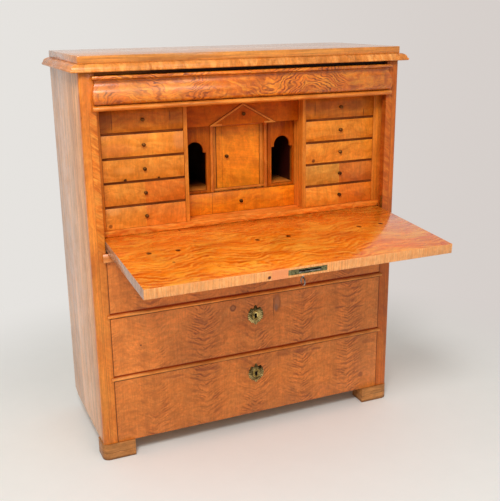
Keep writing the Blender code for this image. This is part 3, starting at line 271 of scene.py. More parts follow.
def eased(name, body, material, width=0.0006, angle=38, called=None, trim=None):
    """The piece itself, made from its CAD node: faces made whole, arrises eased, rounds smooth."""
    piece = copied(nodes[name], called or name + "_wood")
    bpy.ops.object.select_all(action="DESELECT")
    piece.select_set(True)
    bpy.context.view_layer.objects.active = piece
    bpy.ops.object.mode_set(mode="EDIT")
    bpy.ops.mesh.select_all(action="SELECT")
    bpy.ops.mesh.remove_doubles(threshold=0.00002)
    bpy.ops.mesh.dissolve_limited(angle_limit=math.radians(0.6))
    if trim:
        trim(piece)
    bpy.ops.object.mode_set(mode="OBJECT")
    arris = piece.modifiers.new("arris", "BEVEL")
    arris.width = width
    arris.segments = 2
    arris.limit_method = "ANGLE"
    arris.angle_limit = math.radians(angle)
    bpy.ops.object.modifier_apply(modifier="arris")
    bpy.ops.object.shade_smooth_by_angle(angle=math.radians(angle))
    piece.data.materials.clear()
    piece.data.materials.append(material)
    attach(piece, body)
    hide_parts(name)
    return piece


def side_face(spot):
    # pale, greyish swatches: a painted reflection of the pale room
    wood, threads = birch(laid(spot, "ZYX"), "C4763B D88E54 EDA86E F7B983", ripple=0.5, flame=0.25, fibre=0.5,
                          streaks=42, lines=16, wander=3, breaks=0.3)
    for y, z in SIDE_PIN_KNOTS:
        knot = blot(spot, (0, y, z), (1, 0.004, 0.009), scale=160)
        wood = mixed(times(knot, 0.45), wood, "8A5530")
    return wood, threads


side_veneer = polished("side veneer", side_face, rough=0.33, polish=0.45)
for name in ("left_side", "right_side"):
    eased(name, "case", side_veneer)

# Front stiles: upright posts with a rounded outer corner. Their outer half is
# plain birch, and below the frieze their inner half is crossbanded with
# slanting curly birch, laid against it at a straight joint.

STILE_JOINT = 0.517   # where the two halves meet, out from the middle of the case
STILE_INSIDE = 0.4955
BAND_TOP = 1.132


def line_at(value, place, half=0.0005, soft=0.0004):
    """A thin line where a coordinate passes one value."""
    return between(sums("ABSOLUTE", less(value, place)), half, half + soft, 1, 0)


def clouded(spot, colour, stretch, amount):
    """Broad light and dark passages where the figure tips towards and away from the light."""
    cloud = noise(vectors("MULTIPLY", spot, stretch), 1, 4, 0.65)
    return scaled(colour, between(cloud, 0.32, 0.68, 1 - amount, 1 + amount * 0.8))


def stile_face(spot):
    plain, threads = birch(laid(spot, "ZXY"), "B04F0B D06A19 E8842B F2983A", ripple=0.5, flame=0.3,
                           fibre=0.35, streaks=90, lines=26, wander=4)
    banded, _ = birch(laid(spot, "ZXY", turn=56), "B24F0A CC6614 E37E23 F29A3A", ripple=0.8, flame=0.35,
                      fibre=0.25, lines=95, wander=5, breaks=0.8)
    x, _, z = parts_of(spot)
    out = sums("ABSOLUTE", x)
    below = between(z, BAND_TOP - 0.001, BAND_TOP + 0.001, 1, 0)
    inner = between(out, STILE_JOINT - 0.0005, STILE_JOINT + 0.0005, 1, 0)
    wood = mixed(times(inner, times(below, between(z, 0.69, 0.78, 0.3, 1))), plain, banded)
    seam = times(line_at(out, STILE_JOINT, 0.0003, 0.0006), below, 0.55)
    wood = mixed(seam, clouded(spot, wood, (20, 20, 9), 0.07), "7A3A10")
    # painted shade: the right stile darkens towards the right, as the light falls off
    wood = mixed(between(x, 0.2, 0.4, 0, 0.85), wood, "DCC0A0", "MULTIPLY")
    chip = blot(spot, (-0.5395, -0.0185, 1.118), (0.003, 0.004, 0.007), scale=200)
    edge = times(between(out, STILE_INSIDE - 0.001, STILE_INSIDE + 0.001, 1, 0), 0.35)
    return mixed(sums("MAXIMUM", chip, edge), wood, "74380F"), threads


stile_veneer = polished("stile veneer", stile_face, rough=0.34, polish=0.15)
for name in ("left_stile", "right_stile"):
    eased(name, "case", stile_veneer)

# Pine groundwork: bottom board, back panel and the racks that carry the small
# drawers. Plain sawn pine, dry and darkened by age; the racks' front edges are
# lipped with birch, painted dark as painted shade in the gaps between drawers.

PINE_KNOTS = ((-0.31, 0.24), (0.17, 0.42), (0.38, 0.93), (-0.12, 1.02), (0.05, 0.71), (-0.42, 0.77))
BACK_BOARDS = ((-0.325, 0.9), (-0.118, 1.06), (0.104, 0.94), (0.331, 1.05))  # left edge, how light


def marked(spot, wood, depth, marks, scale=90.0):
    """Knots, plugs, stains and painted highlights on a face: x, z, half width, half height, strength and tone
    of each.
    """
    for x, z, across, up, share, code in marks:
        mark = blot(spot, (x, depth, z), (across, 1, up), scale=scale)
        wood = mixed(times(mark, share), wood, code)
    return wood


def finish_with(material, *names):
    """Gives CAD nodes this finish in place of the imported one."""
    for name in names:
        slots = nodes[name].data.materials
        slots.clear()
        slots.append(material)


def pine_face(spot, grain="XZY"):
    wood, threads = birch(laid(spot, grain), "7A4418 A4672F CC914E E2A969", ripple=0.5, flame=0.3, fibre=0.8,
                          streaks=38, lines=14, wander=5, breaks=0.2)
    knots = [(x, z, 0.013, 0.010, 0.7, "5E3616") for x, z in PINE_KNOTS]
    return marked(spot, wood, 0.41, knots, scale=70), threads


def upright_pine_face(spot):
    wood, threads = pine_face(spot, "ZXY")
    across = parts_of(spot)["X"]
    for edge, gain in BACK_BOARDS:
        wood = mixed(sums("GREATER_THAN", across, edge), wood, scaled(wood, gain))
        wood = mixed(times(line_at(across, edge, 0.0006, 0.0006), 0.85), wood, "2A1608")
    return wood, threads


def rack_face(spot):
    board, threads = pine_face(spot)
    # painted shade: the rack board and its lip are darkened, as seen in the gaps
    lip, _ = birch(laid(spot, "XZY"), "421C06 602A0A 7A3A12 8C4A1E", fibre=0.5)
    dark = mixed(0.55, board, "4A2A10")
    return mixed(between(parts_of(spot)["Y"], 0.034, 0.036, 1, 0), dark, lip), threads


pine = polished("old pine", pine_face, rough=0.68, polish=0.0, bump=0.3)
upright_pine = polished("upright pine", upright_pine_face, rough=0.7, polish=0.0, bump=0.3)
rack_pine = polished("rack pine", rack_face, rough=0.6, polish=0.0, bump=0.3, shine=0.08)
finish_with(pine, "bottom_board")
eased("back_panel", "case", upright_pine)
finish_with(rack_pine, "left_rack", "right_rack")

# Rails: dust boards with a birch bead, half round, glued along the front edge,
# and a quirk above it. The bead's top carries painted shade, and a painted
# shadow line runs along its foot. The moulding and the rail under the fall
# are of the same plain birch.

BEAD_HEIGHT = 0.0118
BEAD_BACK = -0.0202


def bead_wood(spot, swatches, flame=0.3):
    """Plain birch that runs along a bead or a moulding."""
    return birch(laid(spot, "XZY"), swatches, ripple=0.6, flame=flame, fibre=0.45, streaks=110, lines=60,
                 wander=5)


def rail_face(foot):
    """Face of a rail whose bead stands on this height."""
    top = foot + BEAD_HEIGHT

    def face(spot):
        wood, threads = bead_wood(spot, "B45A1A D07628 EA9040 F8A858")
        _, y, z = parts_of(spot)
        # painted shade on the top of the bead
        upper = between(z, top - BEAD_HEIGHT * 0.42, top - BEAD_HEIGHT * 0.2)
        wood = mixed(times(upper, 0.25), wood, "A84A14")
        # painted shadow line along the bead's foot
        wood = mixed(line_at(z, foot, 0.0004, 0.0010), wood, "6A2806")
        quirk = mixed(between(y, 0.004, 0.02), "C04A06", "A87844")
        return mixed(between(y, BEAD_BACK, BEAD_BACK + 0.0006), wood, quirk), threads
    return face


def moulding_face(spot):
    return bead_wood(spot, "B05A20 CC7230 E38A42 F2A25A")


for name in ("lower_rail", "upper_rail"):
    bead_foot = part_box(name)[0].z
    finish = polished(name.replace("_", " ") + " birch", rail_face(bead_foot), polish=0.08, shine=0.15)
    eased(name, "case", finish, width=0.0004, angle=50)
moulding_birch = polished("moulding birch", moulding_face, rough=0.34)
eased("sill_moulding", "case", moulding_birch, width=0.0004, angle=50)
finish_with(moulding_birch, "sill_rail")

# Frieze rail: a board with a bold half-round bead under the frieze drawer; the
# crevice where the drawer meets it carries painted shade. The top rail, over
# the drawer, is painted nearly black as the shade of the cornice, less at its left.


def frieze_bead_face(spot):
    wood, threads = bead_wood(spot, "A0450B C8681C E5842F F49F44", flame=0.25)
    # painted shade in the crevice above the bead
    crevice_shade = between(parts_of(spot)["Z"], 1.1640, 1.1662)
    return mixed(times(crevice_shade, 0.8), wood, "5A2206"), threads


def shaded_face(spot):
    wood, threads = birch(laid(spot, "XZY"), "140804 2A1006 3A1A0A 4A2410")
    # the rail's left end is painted with less shade
    less_shade, _ = birch(laid(spot, "XZY"), "7A3A10 A85A1C C87430 DC8C40")
    return mixed(between(parts_of(spot)["X"], -0.44, -0.2, 1, 0), wood, less_shade), threads


frieze_birch = polished("frieze bead birch", frieze_bead_face, rough=0.34)
eased("frieze_rail", "case", frieze_birch, width=0.0004, angle=50)
finish_with(polished("shaded rail", shaded_face, rough=0.6, polish=0.0), "top_rail")

# Feet: square blocks of darker birch with a rounded corner at the front ones,
# dry and scuffed, cracked along the grain, and darker towards the floor.

CRACK_HEIGHT = 0.036


def foot_face(spot):
    wood, threads = birch(laid(spot, "XZY"), "7C4A1C A0682E BE7C3E CE8E4E", ripple=0.5, flame=0.3, fibre=0.4,
                          streaks=90, lines=60, wander=4)
    wood = clouded(spot, wood, (26, 26, 40), 0.14)
    z = parts_of(spot)["Z"]
    wavering = sums("MULTIPLY_ADD", noise(spot, 14, 3), 0.02, z)
    crack = times(line_at(wavering, CRACK_HEIGHT, 0.0002, 0.0008), 0.8)
    # darker towards the floor
    darker_below = between(z, 0.001, 0.012, 0.55, 0)
    return mixed(sums("MAXIMUM", crack, darker_below), wood, "3E2410"), threads


foot_birch = polished("foot birch", foot_face, rough=0.5, polish=0.1, bump=0.25)
for name in ("left_front_foot", "right_front_foot", "left_rear_foot", "right_rear_foot"):
    eased(name, "case", foot_birch, width=0.0012)

# Cornice and top: a nosed moulding returned round both sides, cut across the
# grain so its figure stands up, and a plain birch slab over it, jointed from
# two boards and polished like glass.

CORNICE_UNDERSIDE = 1.2470
SLAB_JOINT = 0.345


def cornice_face(spot):
    wood, threads = birch(laid(spot, "ZXY"), "BA6016 D17725 E88D3B F4A251", ripple=0.9, flame=0.25, fibre=0.3,
                          streaks=120, lines=60, wander=9, breaks=0.8)
    wood = clouded(spot, wood, (28, 10, 16), 0.14)
    # painted shade on the cornice's underside
    under = between(parts_of(spot)["Z"], CORNICE_UNDERSIDE, CORNICE_UNDERSIDE + 0.0008, 1, 0)
    return mixed(times(under, 0.9), wood, "2A0E04"), threads


def slab_face(spot):
    wood, threads = birch(laid(spot, "XYZ"), "B25C14 C9751F DF8A32 EB9D44", ripple=0.5, flame=0.25, fibre=0.5,
                          streaks=50, lines=22, wander=3)
    seam = line_at(parts_of(spot)["X"], SLAB_JOINT, 0.0003, 0.0006)
    return mixed(times(seam, 0.45), wood, "7A3A10"), threads


eased("cornice", "case", polished("cornice birch", cornice_face, rough=0.3), width=0.0004, angle=50)
eased("top_slab", "case", polished("top slab birch", slab_face, rough=0.26, polish=0.75, coat_rough=0.12))

# Nest of small drawers: thin birch boards with straight-grained front edges,
# let into each other behind the fall. Deeper inside they are painted nearly
# black as painted shade.

BEST_BIRCH = dict(flame=0.5, fibre=0.22, streaks=50, lines=36, wander=6.5, breaks=0.55, patches=0.5)


def upright_face(spot):
    wood, threads = birch(laid(spot, "ZXY"), "A64F09 C86A17 E48529 F09C3E", ripple=0.4, flame=0.2, fibre=0.4,
                          streaks=120, lines=30, wander=3)
    # painted shade deeper inside the nest
    deep_shade = between(parts_of(spot)["Y"], 0.1032, 0.128)
    return mixed(deep_shade, wood, "34100A"), threads


def fanned(wood, board, trough, crest):
    """Adds the wide flame of the best boards: dark troughs, each with a light crest beside it."""
    fans = dict(lines=46, wander=5.5, slope=0.3, fold_place=0.03, fold_pitch=0.29, breaks=0.3, patches=0.45)
    beside = vectors("ADD", board, (0, 0.0105, 0))
    wood = mixed(times(figured(board, **fans)["Flame"], trough), wood, "C04602")
    return mixed(times(figured(beside, **fans)["Flame"], crest), wood, "FFB24A")


def shelf_face(spot):
    flat, upright = laid(spot, "XYZ"), laid(spot, "XZY")
    wood, threads = birch(flat, "B44806 DC6A16 EE8228 FA9A42", ripple=0.9, **BEST_BIRCH)
    edge, _ = birch(upright, "B04806 DA6C12 F08222 FA9634", ripple=0.7, flame=0.5, lines=90, wander=5)
    y = parts_of(spot)["Y"]
    front = between(y, 0.0146, 0.0152, 1, 0)
    wood = mixed(front, fanned(wood, flat, 0.4, 0.3), fanned(edge, upright, 0.4, 0.4))
    # painted shade on the shelves deeper inside
    return mixed(between(y, 0.10, 0.24), wood, "3A1408"), threads


nest_uprights = polished("nest uprights", upright_face, rough=0.38, polish=0.06, shine=0.2)
nest_shelves = polished("nest shelves", shelf_face, rough=0.38, polish=0.06, shine=0.2)
for name in ("nest_left_side", "nest_right_side", "left_partition", "right_partition", "left_locker_wall",
             "right_locker_wall"):
    eased(name, "case", nest_uprights, width=0.0004)
for name in ("nest_bottom", "upper_shelf", "lower_shelf"):
    eased(name, "case", nest_shelves, width=0.0004)

# Arch boards and columns: the front of the locker's two pigeonholes, plain
# birch cut with a round head on small shoulders, and slim turned columns whose
# lighter swatches are painted light.


def locker_face(swatches):
    """Face of a plain board or column, in four swatches."""
    def face(spot):
        return birch(laid(spot, "ZXY"), swatches, ripple=0.6, flame=0.3, fibre=0.35, streaks=70, lines=50,
                     wander=4)
    return face


arch_birch = polished("arch board birch", locker_face("7E2F01 9E4203 B85808 C66A10"), rough=0.4, polish=0.04,
                      shine=0.12)
# the columns' lighter swatches are painted light
column_birch = polished("column birch", locker_face("943C06 B85A0E D47220 E4862E"), polish=0.08, shine=0.2)
for side in ("left", "right"):
    eased(side + "_arch_board", "case", arch_birch, width=0.0004)
for side in ("left", "right"):
    eased(side + "_column", "case", column_birch, width=0.0003, angle=50)

# Small drawers: fronts of burr birch, each veneered on its own, so no two are
# alike; chips, stains and joints are where use has left them. Their plain
# knobs are cut off here, to be turned later.

KNOB_REACH = 0.011    # how far a knob stands out
FRONT_THICK = 0.0095  # of the veneered front, before the raw box begins
PALE = "BC6414 DB8022 F19130 FFAA43"
PLAIN = "AE590E D0711A E88725 F69E38"
RED = "904107 AF560D C56C19 D68227"
SOFT_RED = "9C550F BA7022 CE8630 DC9B42"
knobbed = []


def burr(spot, tones, turn=0.0, lines=70.0):
    """Burr birch: short broken figure, small clouds and a scatter of eyes."""
    wood, threads = birch(laid(spot, "XZY", turn=turn), tones, ripple=0.5, flame=0.16, fibre=0.16, lines=lines,
                          wander=9, breaks=0.9, patches=0.9, mottle=0.12,
                          threads_along=laid(spot, "ZXY", turn=turn))
    wood = clouded(spot, wood, (31, 31, 31), 0.13)
    wood = clouded(spot, wood, (160, 160, 70), 0.06)
    cells = put("TexVoronoi", {"Vector": spot, "Scale": 150.0}).outputs["Distance"]
    eyes = times(between(cells, 0.08, 0.3, 1, 0), between(noise(spot, 45), 0.46, 0.6))
    return mixed(times(eyes, 0.16), wood, "9A4810"), threads


def gap_shaded(spot, wood, low, high, ends, code):
    """Darkens a front along its four edges with painted shade, as of the gaps round it; ends are the rim's, in
    from the edge.
    """
    x, _, z = parts_of(spot)
    half, middle = (high - low) / 2, (low + high) / 2
    aside = less(half.x, sums("ABSOLUTE", less(x, middle.x)))
    above = less(half.z, sums("ABSOLUTE", less(z, middle.z)))
    return mixed(between(sums("MINIMUM", aside, above), *ends, 0.6, 0), wood, code)


def boxed(spot, wood, depth, swatches="8A5A2C B08048 C89C62 D8B078", **figure):
    """From a depth on, the raw wood of the drawer's box takes over from its front."""
    raw, _ = birch(laid(spot, "YXZ"), swatches, **figure)
    return mixed(between(parts_of(spot)["Y"], depth, depth + 0.0007), wood, raw)


def drawer_face(name, tones, turn=0.0, right_half=None, marks=(), front=None):
    """Face of one small drawer: its tones, the tint and strength of its right half, and its marks."""
    low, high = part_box(name)
    front = front or low.y + KNOB_REACH
    middle = (low.x + high.x) / 2

    def face(spot):
        wood, threads = burr(spot, tones, turn)
        if right_half:
            tint, share = right_half
            beyond = between(parts_of(spot)["X"], middle - 0.0006, middle + 0.0006)
            wood = mixed(times(beyond, share), wood, tint, "MULTIPLY")
        wood = marked(spot, wood, front, marks, scale=140)
        # painted shade along the front's edges, as in the gaps round it
        wood = gap_shaded(spot, wood, low, high, (0.0004, 0.0018), "6A2806")
        return boxed(spot, wood, front + FRONT_THICK, "A87038 BC8448 C99A62 D8AE78", ripple=0.4, flame=0.1,
                     fibre=0.6), threads
    return face


def pick_verts(piece, wanted):
    """In edit mode, selects the vertices whose place passes the test."""
    bpy.ops.mesh.select_mode(type="VERT")
    bpy.ops.mesh.select_all(action="DESELECT")
    bpy.ops.object.mode_set(mode="OBJECT")
    for vert in piece.data.vertices:
        vert.select = wanted(vert.co)
    bpy.ops.object.mode_set(mode="EDIT")


def cut_knob(piece):
    """Takes off the plain knob that the CAD solid carries, so that the turned one can be set there."""
    tip = min(v.co.y for v in piece.data.vertices)
    crown = [v.co for v in piece.data.vertices if v.co.y < tip + 0.002]
    centre = sum(crown, Vector()) / len(crown)
    piece["knob"] = (centre.x, tip, centre.z)
    root = tip + KNOB_REACH - 0.0005
    pick_verts(piece, lambda v: v.y < root and math.hypot(v.x - centre.x, v.z - centre.z) < 0.008)
    bpy.ops.mesh.delete(type="VERT")
    bpy.ops.mesh.select_all(action="DESELECT")
    bpy.ops.mesh.select_mode(type="EDGE")
    bpy.ops.mesh.select_non_manifold()
    bpy.ops.mesh.edge_face_add()


def knobbed_front(name, body, called, face, width=0.0005, tone=0.3, polish=0.06, shine=0.2):
    """Dresses a front, cuts its plain knob off, and lists it for a turned one."""
    finish = polished(called, face, tone=tone, rough=0.4, polish=polish, shine=shine)
    knobbed.append((eased(name, body, finish, width=width, trim=cut_knob), body))


bank = {
    "left_drawer_1": dict(tones=RED, marks=(
        (-0.469, 1.098, 0.026, 0.05, 0.4, "6A2C08"), (-0.4405, 1.100, 0.0011, 0.034, 0.85, "3A1404"),
        (-0.257, 1.1035, 0.0012, 0.015, 0.85, "3A1404"), (-0.245, 1.092, 0.016, 0.04, 0.2, "7A3A10"))),
    "left_drawer_2": dict(tones=PALE, marks=(
        # its first mark is a painted highlight at the drawer's right end
        (-0.228, 1.030, 0.020, 0.030, 0.35, "EC9A60"), (-0.43, 1.01, 0.05, 0.02, 0.3, "E07A40"))),
    "left_drawer_3": dict(tones=PALE, marks=(
        (-0.408, 0.9145, 0.005, 0.005, 0.95, "2A0E04"), (-0.30, 0.915, 0.004, 0.003, 0.9, "2A0E04"),
        (-0.41, 0.945, 0.03, 0.012, 0.35, "F6A24A"))),
    "left_drawer_4": dict(tones=PALE, right_half=("F0A888", 0.42), turn=12),
    "left_drawer_5": dict(tones=PALE, right_half=("F2AC8C", 0.4), turn=-8, marks=(
        (-0.462, 0.775, 0.006, 0.006, 0.7, "6A3210"), (-0.45, 0.82, 0.02, 0.012, 0.3, "F6B060"))),
    "right_drawer_1": dict(tones=RED, marks=(
        (0.249, 1.095, 0.0011, 0.024, 0.85, "3A1404"), (0.436, 1.075, 0.0012, 0.012, 0.85, "3A1404"),
        (0.40, 1.10, 0.03, 0.02, 0.3, "7A3A10"))),
    "right_drawer_2": dict(tones=PLAIN, turn=10, marks=((0.235, 0.99, 0.012, 0.006, 0.5, "9A4812"),)),
    "right_drawer_3": dict(tones=PLAIN, turn=-14, marks=((0.245, 0.9215, 0.006, 0.006, 0.8, "54220A"),)),
    "right_drawer_4": dict(tones=SOFT_RED, right_half=("F09C80", 0.6)),
    "right_drawer_5": dict(tones=PLAIN, right_half=("F2B090", 0.38), turn=8),
}
for name, look in bank.items():
    knobbed_front(name, name, name.replace("_", " ") + " burr", drawer_face(name, **look))


def centre_face(spot):
    plain, threads = drawer_face("centre_drawer", "AC4E03 D36607 EF8210 FF991D")(spot)
    x, y, _ = parts_of(spot)
    seam = times(line_at(x, -0.1020, 0.0004, 0.0008), between(y, 0.0965, 0.097, 1, 0), 0.7)
    return mixed(seam, plain, "7A3008"), threads


knobbed_front("centre_drawer", "centre_drawer", "centre drawer burr", centre_face)

# Gable drawer: a flat front that carries a low gable, raked mouldings mitred at
# its peak and turned back on short stubs over the columns.

GABLE_FOOT = 1.0585
GABLE_RISE = 0.0679
GABLE_HALF = 0.1178
GABLE_FRONT = 0.0581  # of the flat front behind the mouldings


def gable_face(spot):
    tones = "893401 AA4703 C25B06 D06D0E"
    plain, threads = drawer_face("pediment_drawer", tones, front=GABLE_FRONT)(spot)
    rake, _ = birch(laid(spot, "XZY"), "B05917 C66C23 DA8334 E39444", ripple=0.4, flame=0.15)
    x, y, z = parts_of(spot)
    slope = less(GABLE_RISE, times(sums("ABSOLUTE", x), GABLE_RISE / GABLE_HALF))
    over = less(less(z, GABLE_FOOT), slope)
    # painted shade lines along both edges of each raking moulding
    rake_shade = sums("MAXIMUM", line_at(over, 0.0009, 0.0006, 0.0008), line_at(over, -0.0073, 0.0006, 0.0010))
    plain = mixed(times(rake_shade, 0.7), plain, "5A2004")
    return mixed(between(y, 0.0553, 0.0560, 1, 0), plain, rake), threads


knobbed_front("pediment_drawer", "pediment_drawer", "gable birch", gable_face, width=0.0004, tone=0.25,
              polish=0.03, shine=0.1)

# Locker door: one leaf of burr birch, rounded at its free edge and hung on
# pins, with a joint in its veneer near the left edge.

DOOR_JOINT = -0.057
DOOR_EDGE = 0.0765


def door_face(spot):
    wood, threads = burr(spot, "AF5204 DA7310 F58C19 FFA026", turn=82, lines=50)
    x = parts_of(spot)["X"]
    seam = times(line_at(x, DOOR_JOINT, 0.0003, 0.0009), 0.4)
    # painted shade at the door's edges, as in the gaps beside it
    edge = between(sums("ABSOLUTE", x), DOOR_EDGE, DOOR_EDGE + 0.0013, 0, 0.92)
    return mixed(sums("MAXIMUM", seam, edge), wood, "4A1A06"), threads


knobbed_front("locker_door", "door", "door burr", door_face)

# Knobs: thirteen of dark brass, turned to a bulb on a waisted stem, with a
# small collar that beds on the wood.

KNOB_STATIONS = (  # radius and distance out, from the collar to the crown
    (0.0052, 0.0), (0.0052, 0.0007), (0.0040, 0.0012), (0.0026, 0.0018), (0.0024, 0.0034), (0.0034, 0.0046),
    (0.0052, 0.0058), (0.0060, 0.0072), (0.0057, 0.0088), (0.0040, 0.0101), (0.0016, 0.0107))


def metal(name, swatches, rough, size=60.0, recess=None):
    """Old metal: two tones of tarnish, pits, and a gloss that dulls where it is darkest."""
    made, shader, spot = new_finish(name)
    dark, light = swatches.split()
    bright = between(noise(spot, size, 4, 0.65), 0.3, 0.7)
    if recess:
        bright = times(sums("MAXIMUM", bright, 0.15), recess(spot))
    ramp = put("ValToRGB", {"Fac": bright})
    stops = ramp.color_ramp.elements
    stops[0].color = shade(dark)
    stops[1].color = shade(light)
    if recess:
        stops[0].position = 0.03
        stops.new(0.0).color = shade("040200")
    raised = put("Bump", {"Strength": 0.2, "Distance": 0.0003, "Height": noise(spot, size * 9)})
    feed(shader, {"Base Color": ramp.outputs["Color"], "Normal": raised.outputs["Normal"], "Metallic": 1.0,
                  "Roughness": between(bright, 0, 1, rough + 0.18, rough)})
    return made


def turned_knob(name, tip):
    """Drawn out of a disc, ring by ring, from its collar to its crown."""
    bpy.ops.object.select_all(action="DESELECT")
    bpy.ops.mesh.primitive_circle_add(
        vertices=20, radius=KNOB_STATIONS[0][0], fill_type="NGON", rotation=(math.radians(90), 0, 0),
        location=tip + Vector((0, KNOB_REACH, 0)))
    knob = bpy.context.object
    knob.name = name
    bpy.ops.object.transform_apply(location=True, rotation=True, scale=True)
    bpy.ops.object.mode_set(mode="EDIT")
    bpy.ops.mesh.select_all(action="SELECT")
    for (r0, y0), (r1, y1) in zip(KNOB_STATIONS, KNOB_STATIONS[1:]):
        bpy.ops.mesh.extrude_region_move(TRANSFORM_OT_translate={"value": (0, y0 - y1, 0)})
        bpy.ops.transform.resize(value=(r1 / r0, 1, r1 / r0))
    bpy.ops.mesh.select_all(action="SELECT")
    bpy.ops.mesh.normals_make_consistent(inside=False)
    bpy.ops.object.mode_set(mode="OBJECT")
    bpy.ops.object.shade_smooth_by_angle(angle=math.radians(50))
    knob.data.materials.append(knob_brass)
    return knob


def brass_set(make, wanted):
    """Pieces all alike: the first is made at its place, and the others are copied to theirs."""
    first = None
    for name, body, place in wanted:
        if first is None:
            piece = first = make(name, place)
            first_place = place
        else:
            piece = copied(first, name, place - first_place)
        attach(piece, body)


knob_brass = metal("knob brass", "3E2410 8A5A2C", 0.4)
brass_set(turned_knob, [(body + "_knob", body, Vector(piece["knob"])) for piece, body in knobbed])

# Long drawers: fronts veneered with one run of feathered birch, redder than the
# rest, whose short dark strokes fan out from five upright folds.

KEYHOLE_X = 0.004     # it stands a little to the right of the middle


def feather_face(name, marks=(), shift=0.0):
    """Face of a long drawer: its marks, and how far its veneer is shifted along the run."""
    low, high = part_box(name)
    folds = dict(fold_place=0.0014, fold_pitch=0.182, patches=0.8)

    def face(spot):
        wood, threads = birch(
            laid(spot, "XZY", shift=(0, shift, 0)), "8F3C0D CA6A23 E28133 F09444", ripple=0.32, flame=0.68,
            fibre=0.16, streaks=40, limit=0.075, threads_along=laid(spot, "ZXY"), lines=82, wander=4.5,
            slope=0.6, breaks=0.9, **folds)
        wood = clouded(spot, wood, (17, 17, 17), 0.1)
        wood = clouded(spot, wood, (30, 30, 120), 0.1)
        wood = marked(spot, wood, low.y, marks)
        broad = figured(laid(spot, "XZY", shift=(0, shift + 0.05, 0)), lines=44, wander=3.2, slope=0.36,
                        breaks=0.5, **folds)
        arcs = times(broad["Flame"], between(broad["Off"], 0.03, 0.075, 1, 0.05), 0.55)
        wood = mixed(arcs, wood, "8A3E1E")
        # painted shade behind the keyhole, seen through it
        keyhole = blot(spot, (KEYHOLE_X, low.y, high.z - 0.0700), (0.0075, 1, 0.0185), rough=0.1)
        wood = mixed(keyhole, wood, "120803")
        # painted shade along the front's edges, as in the gaps round it
        wood = gap_shaded(spot, wood, low, high, (0.0003, 0.0014), "5E2608")
        return boxed(spot, wood, -0.0005, ripple=0.4, flame=0.1, fibre=0.7), threads
    return face


long_looks = {
    "upper_long_drawer": dict(shift=0.3),
    "middle_long_drawer": dict(marks=(
        (-0.078, 0.460, 0.0105, 0.0110, 0.85, "6A2A0E"), (-0.078, 0.460, 0.0065, 0.0065, 0.75, "C87A3C"),
        (0.085, 0.455, 0.0135, 0.028, 0.65, "622A10"), (0.0855, 0.456, 0.0090, 0.021, 0.85, "C07440"),
        (0.081, 0.436, 0.007, 0.013, 0.55, "84624E"), (0.0715, 0.444, 0.0014, 0.032, 0.7, "4A1C0A"),
        (0.168, 0.253, 0.012, 0.010, 0.5, "6A2C10"), (-0.40, 0.385, 0.003, 0.003, 0.8, "3A1808"),
        (0.334, 0.397, 0.020, 0.004, 0.6, "7E3A1E"), (0.409, 0.388, 0.018, 0.004, 0.45, "7E3A1E"),
        (0.237, 0.409, 0.030, 0.004, 0.4, "8A4220"))),
    "lower_long_drawer": dict(shift=0.13, marks=(
        (-0.184, 0.259, 0.026, 0.007, 0.45, "84381A"), (-0.144, 0.256, 0.018, 0.009, 0.4, "84381A"),
        (-0.290, 0.254, 0.030, 0.005, 0.4, "84381A"), (0.175, 0.258, 0.030, 0.008, 0.5, "7A3418"),
        (0.239, 0.256, 0.022, 0.004, 0.45, "7A3418"), (0.427, 0.116, 0.010, 0.010, 0.6, "7A3418"),
        (0.455, 0.245, 0.030, 0.008, 0.3, "7A3418"), (0.11, 0.262, 0.03, 0.012, 0.4, "7A3414"))),
}
for name, look in long_looks.items():
    finish = polished(name.replace("_", " ") + " feather", feather_face(name, **look), tone=0.25, rough=0.34)
    eased(name, name, finish)

# Frieze drawer: a cushion moulding under a cove and a lip, veneered with the
# wildest flame and as glossy as glass along its swell. A painted highlight lies
# on the left of the swell, and painted shade in the cove, in the crevices and
# towards the right end.

FRIEZE_SWELL = (  # height of each station, and how far it comes out
    (1.1853, -0.0003), (1.1927, -0.0010), (1.1984, -0.0014), (1.2021, 0.0), (1.2042, 0.0043), (1.2055, 0.0050),
    (1.2128, 0.0022), (1.2197, 0.0004))
END_SHARE = 0.836     # of that, on the two returned ends
CUSHION_FOOT = 1.1535
LIP_CREVICE = 1.2262


def frieze_face(spot):
    wood, threads = birch(laid(spot, "XZY"), "702602 C65C0A E47816 F8982C", ripple=0.7, flame=0.9, fibre=0.2,
                          lines=84, wander=11, slope=0.5, fold_place=0.025, fold_pitch=0.31, breaks=0.4,
                          patches=0.85)
    wood = clouded(spot, wood, (30, 10, 12), 0.2)
    strokes = figured(laid(spot, "XZY", shift=(0.21, 0.4, 0)), lines=40, wander=7, slope=0.42, fold_place=0.1,
                      fold_pitch=0.2, breaks=0.75, patches=0.7)["Flame"]
    x, _, z = parts_of(spot)
    wood = mixed(times(strokes, between(z, 1.163, 1.196, 0.8, 0.3)), wood, "8E3A08")
    # painted highlight on the left part of the swell
    swell_highlight = times(between(x, -0.32, -0.08, 1, 0), between(z, 1.166, 1.184), between(z, 1.200, 1.214, 1, 0))
    wood = mixed(times(swell_highlight, 0.14), wood, "FFC68C")
    # painted shade: the drawer darkens towards its right end
    wood = scaled(wood, times(sums("MULTIPLY_ADD", swell_highlight, 0.1, 1.0), between(x, 0.1, 0.5, 1, 0.76)))
    # painted shade in the cove under the lip
    cove_shade = times(between(z, 1.2080, 1.2180), between(z, 1.2235, 1.226, 1, 0))
    wood = mixed(times(cove_shade, 0.35), wood, "B05814")
    # painted shade in the crevices under the lip and at the cushion's foot
    crevice_shade = times(line_at(z, LIP_CREVICE, 0.0004, 0.0012), 0.75)
    foot = between(z, CUSHION_FOOT, CUSHION_FOOT + 0.0065, 0.6, 0)
    wood = mixed(sums("MAXIMUM", crevice_shade, foot), wood, "6A2404")
    return boxed(spot, wood, 0.0005, fibre=0.7), threads


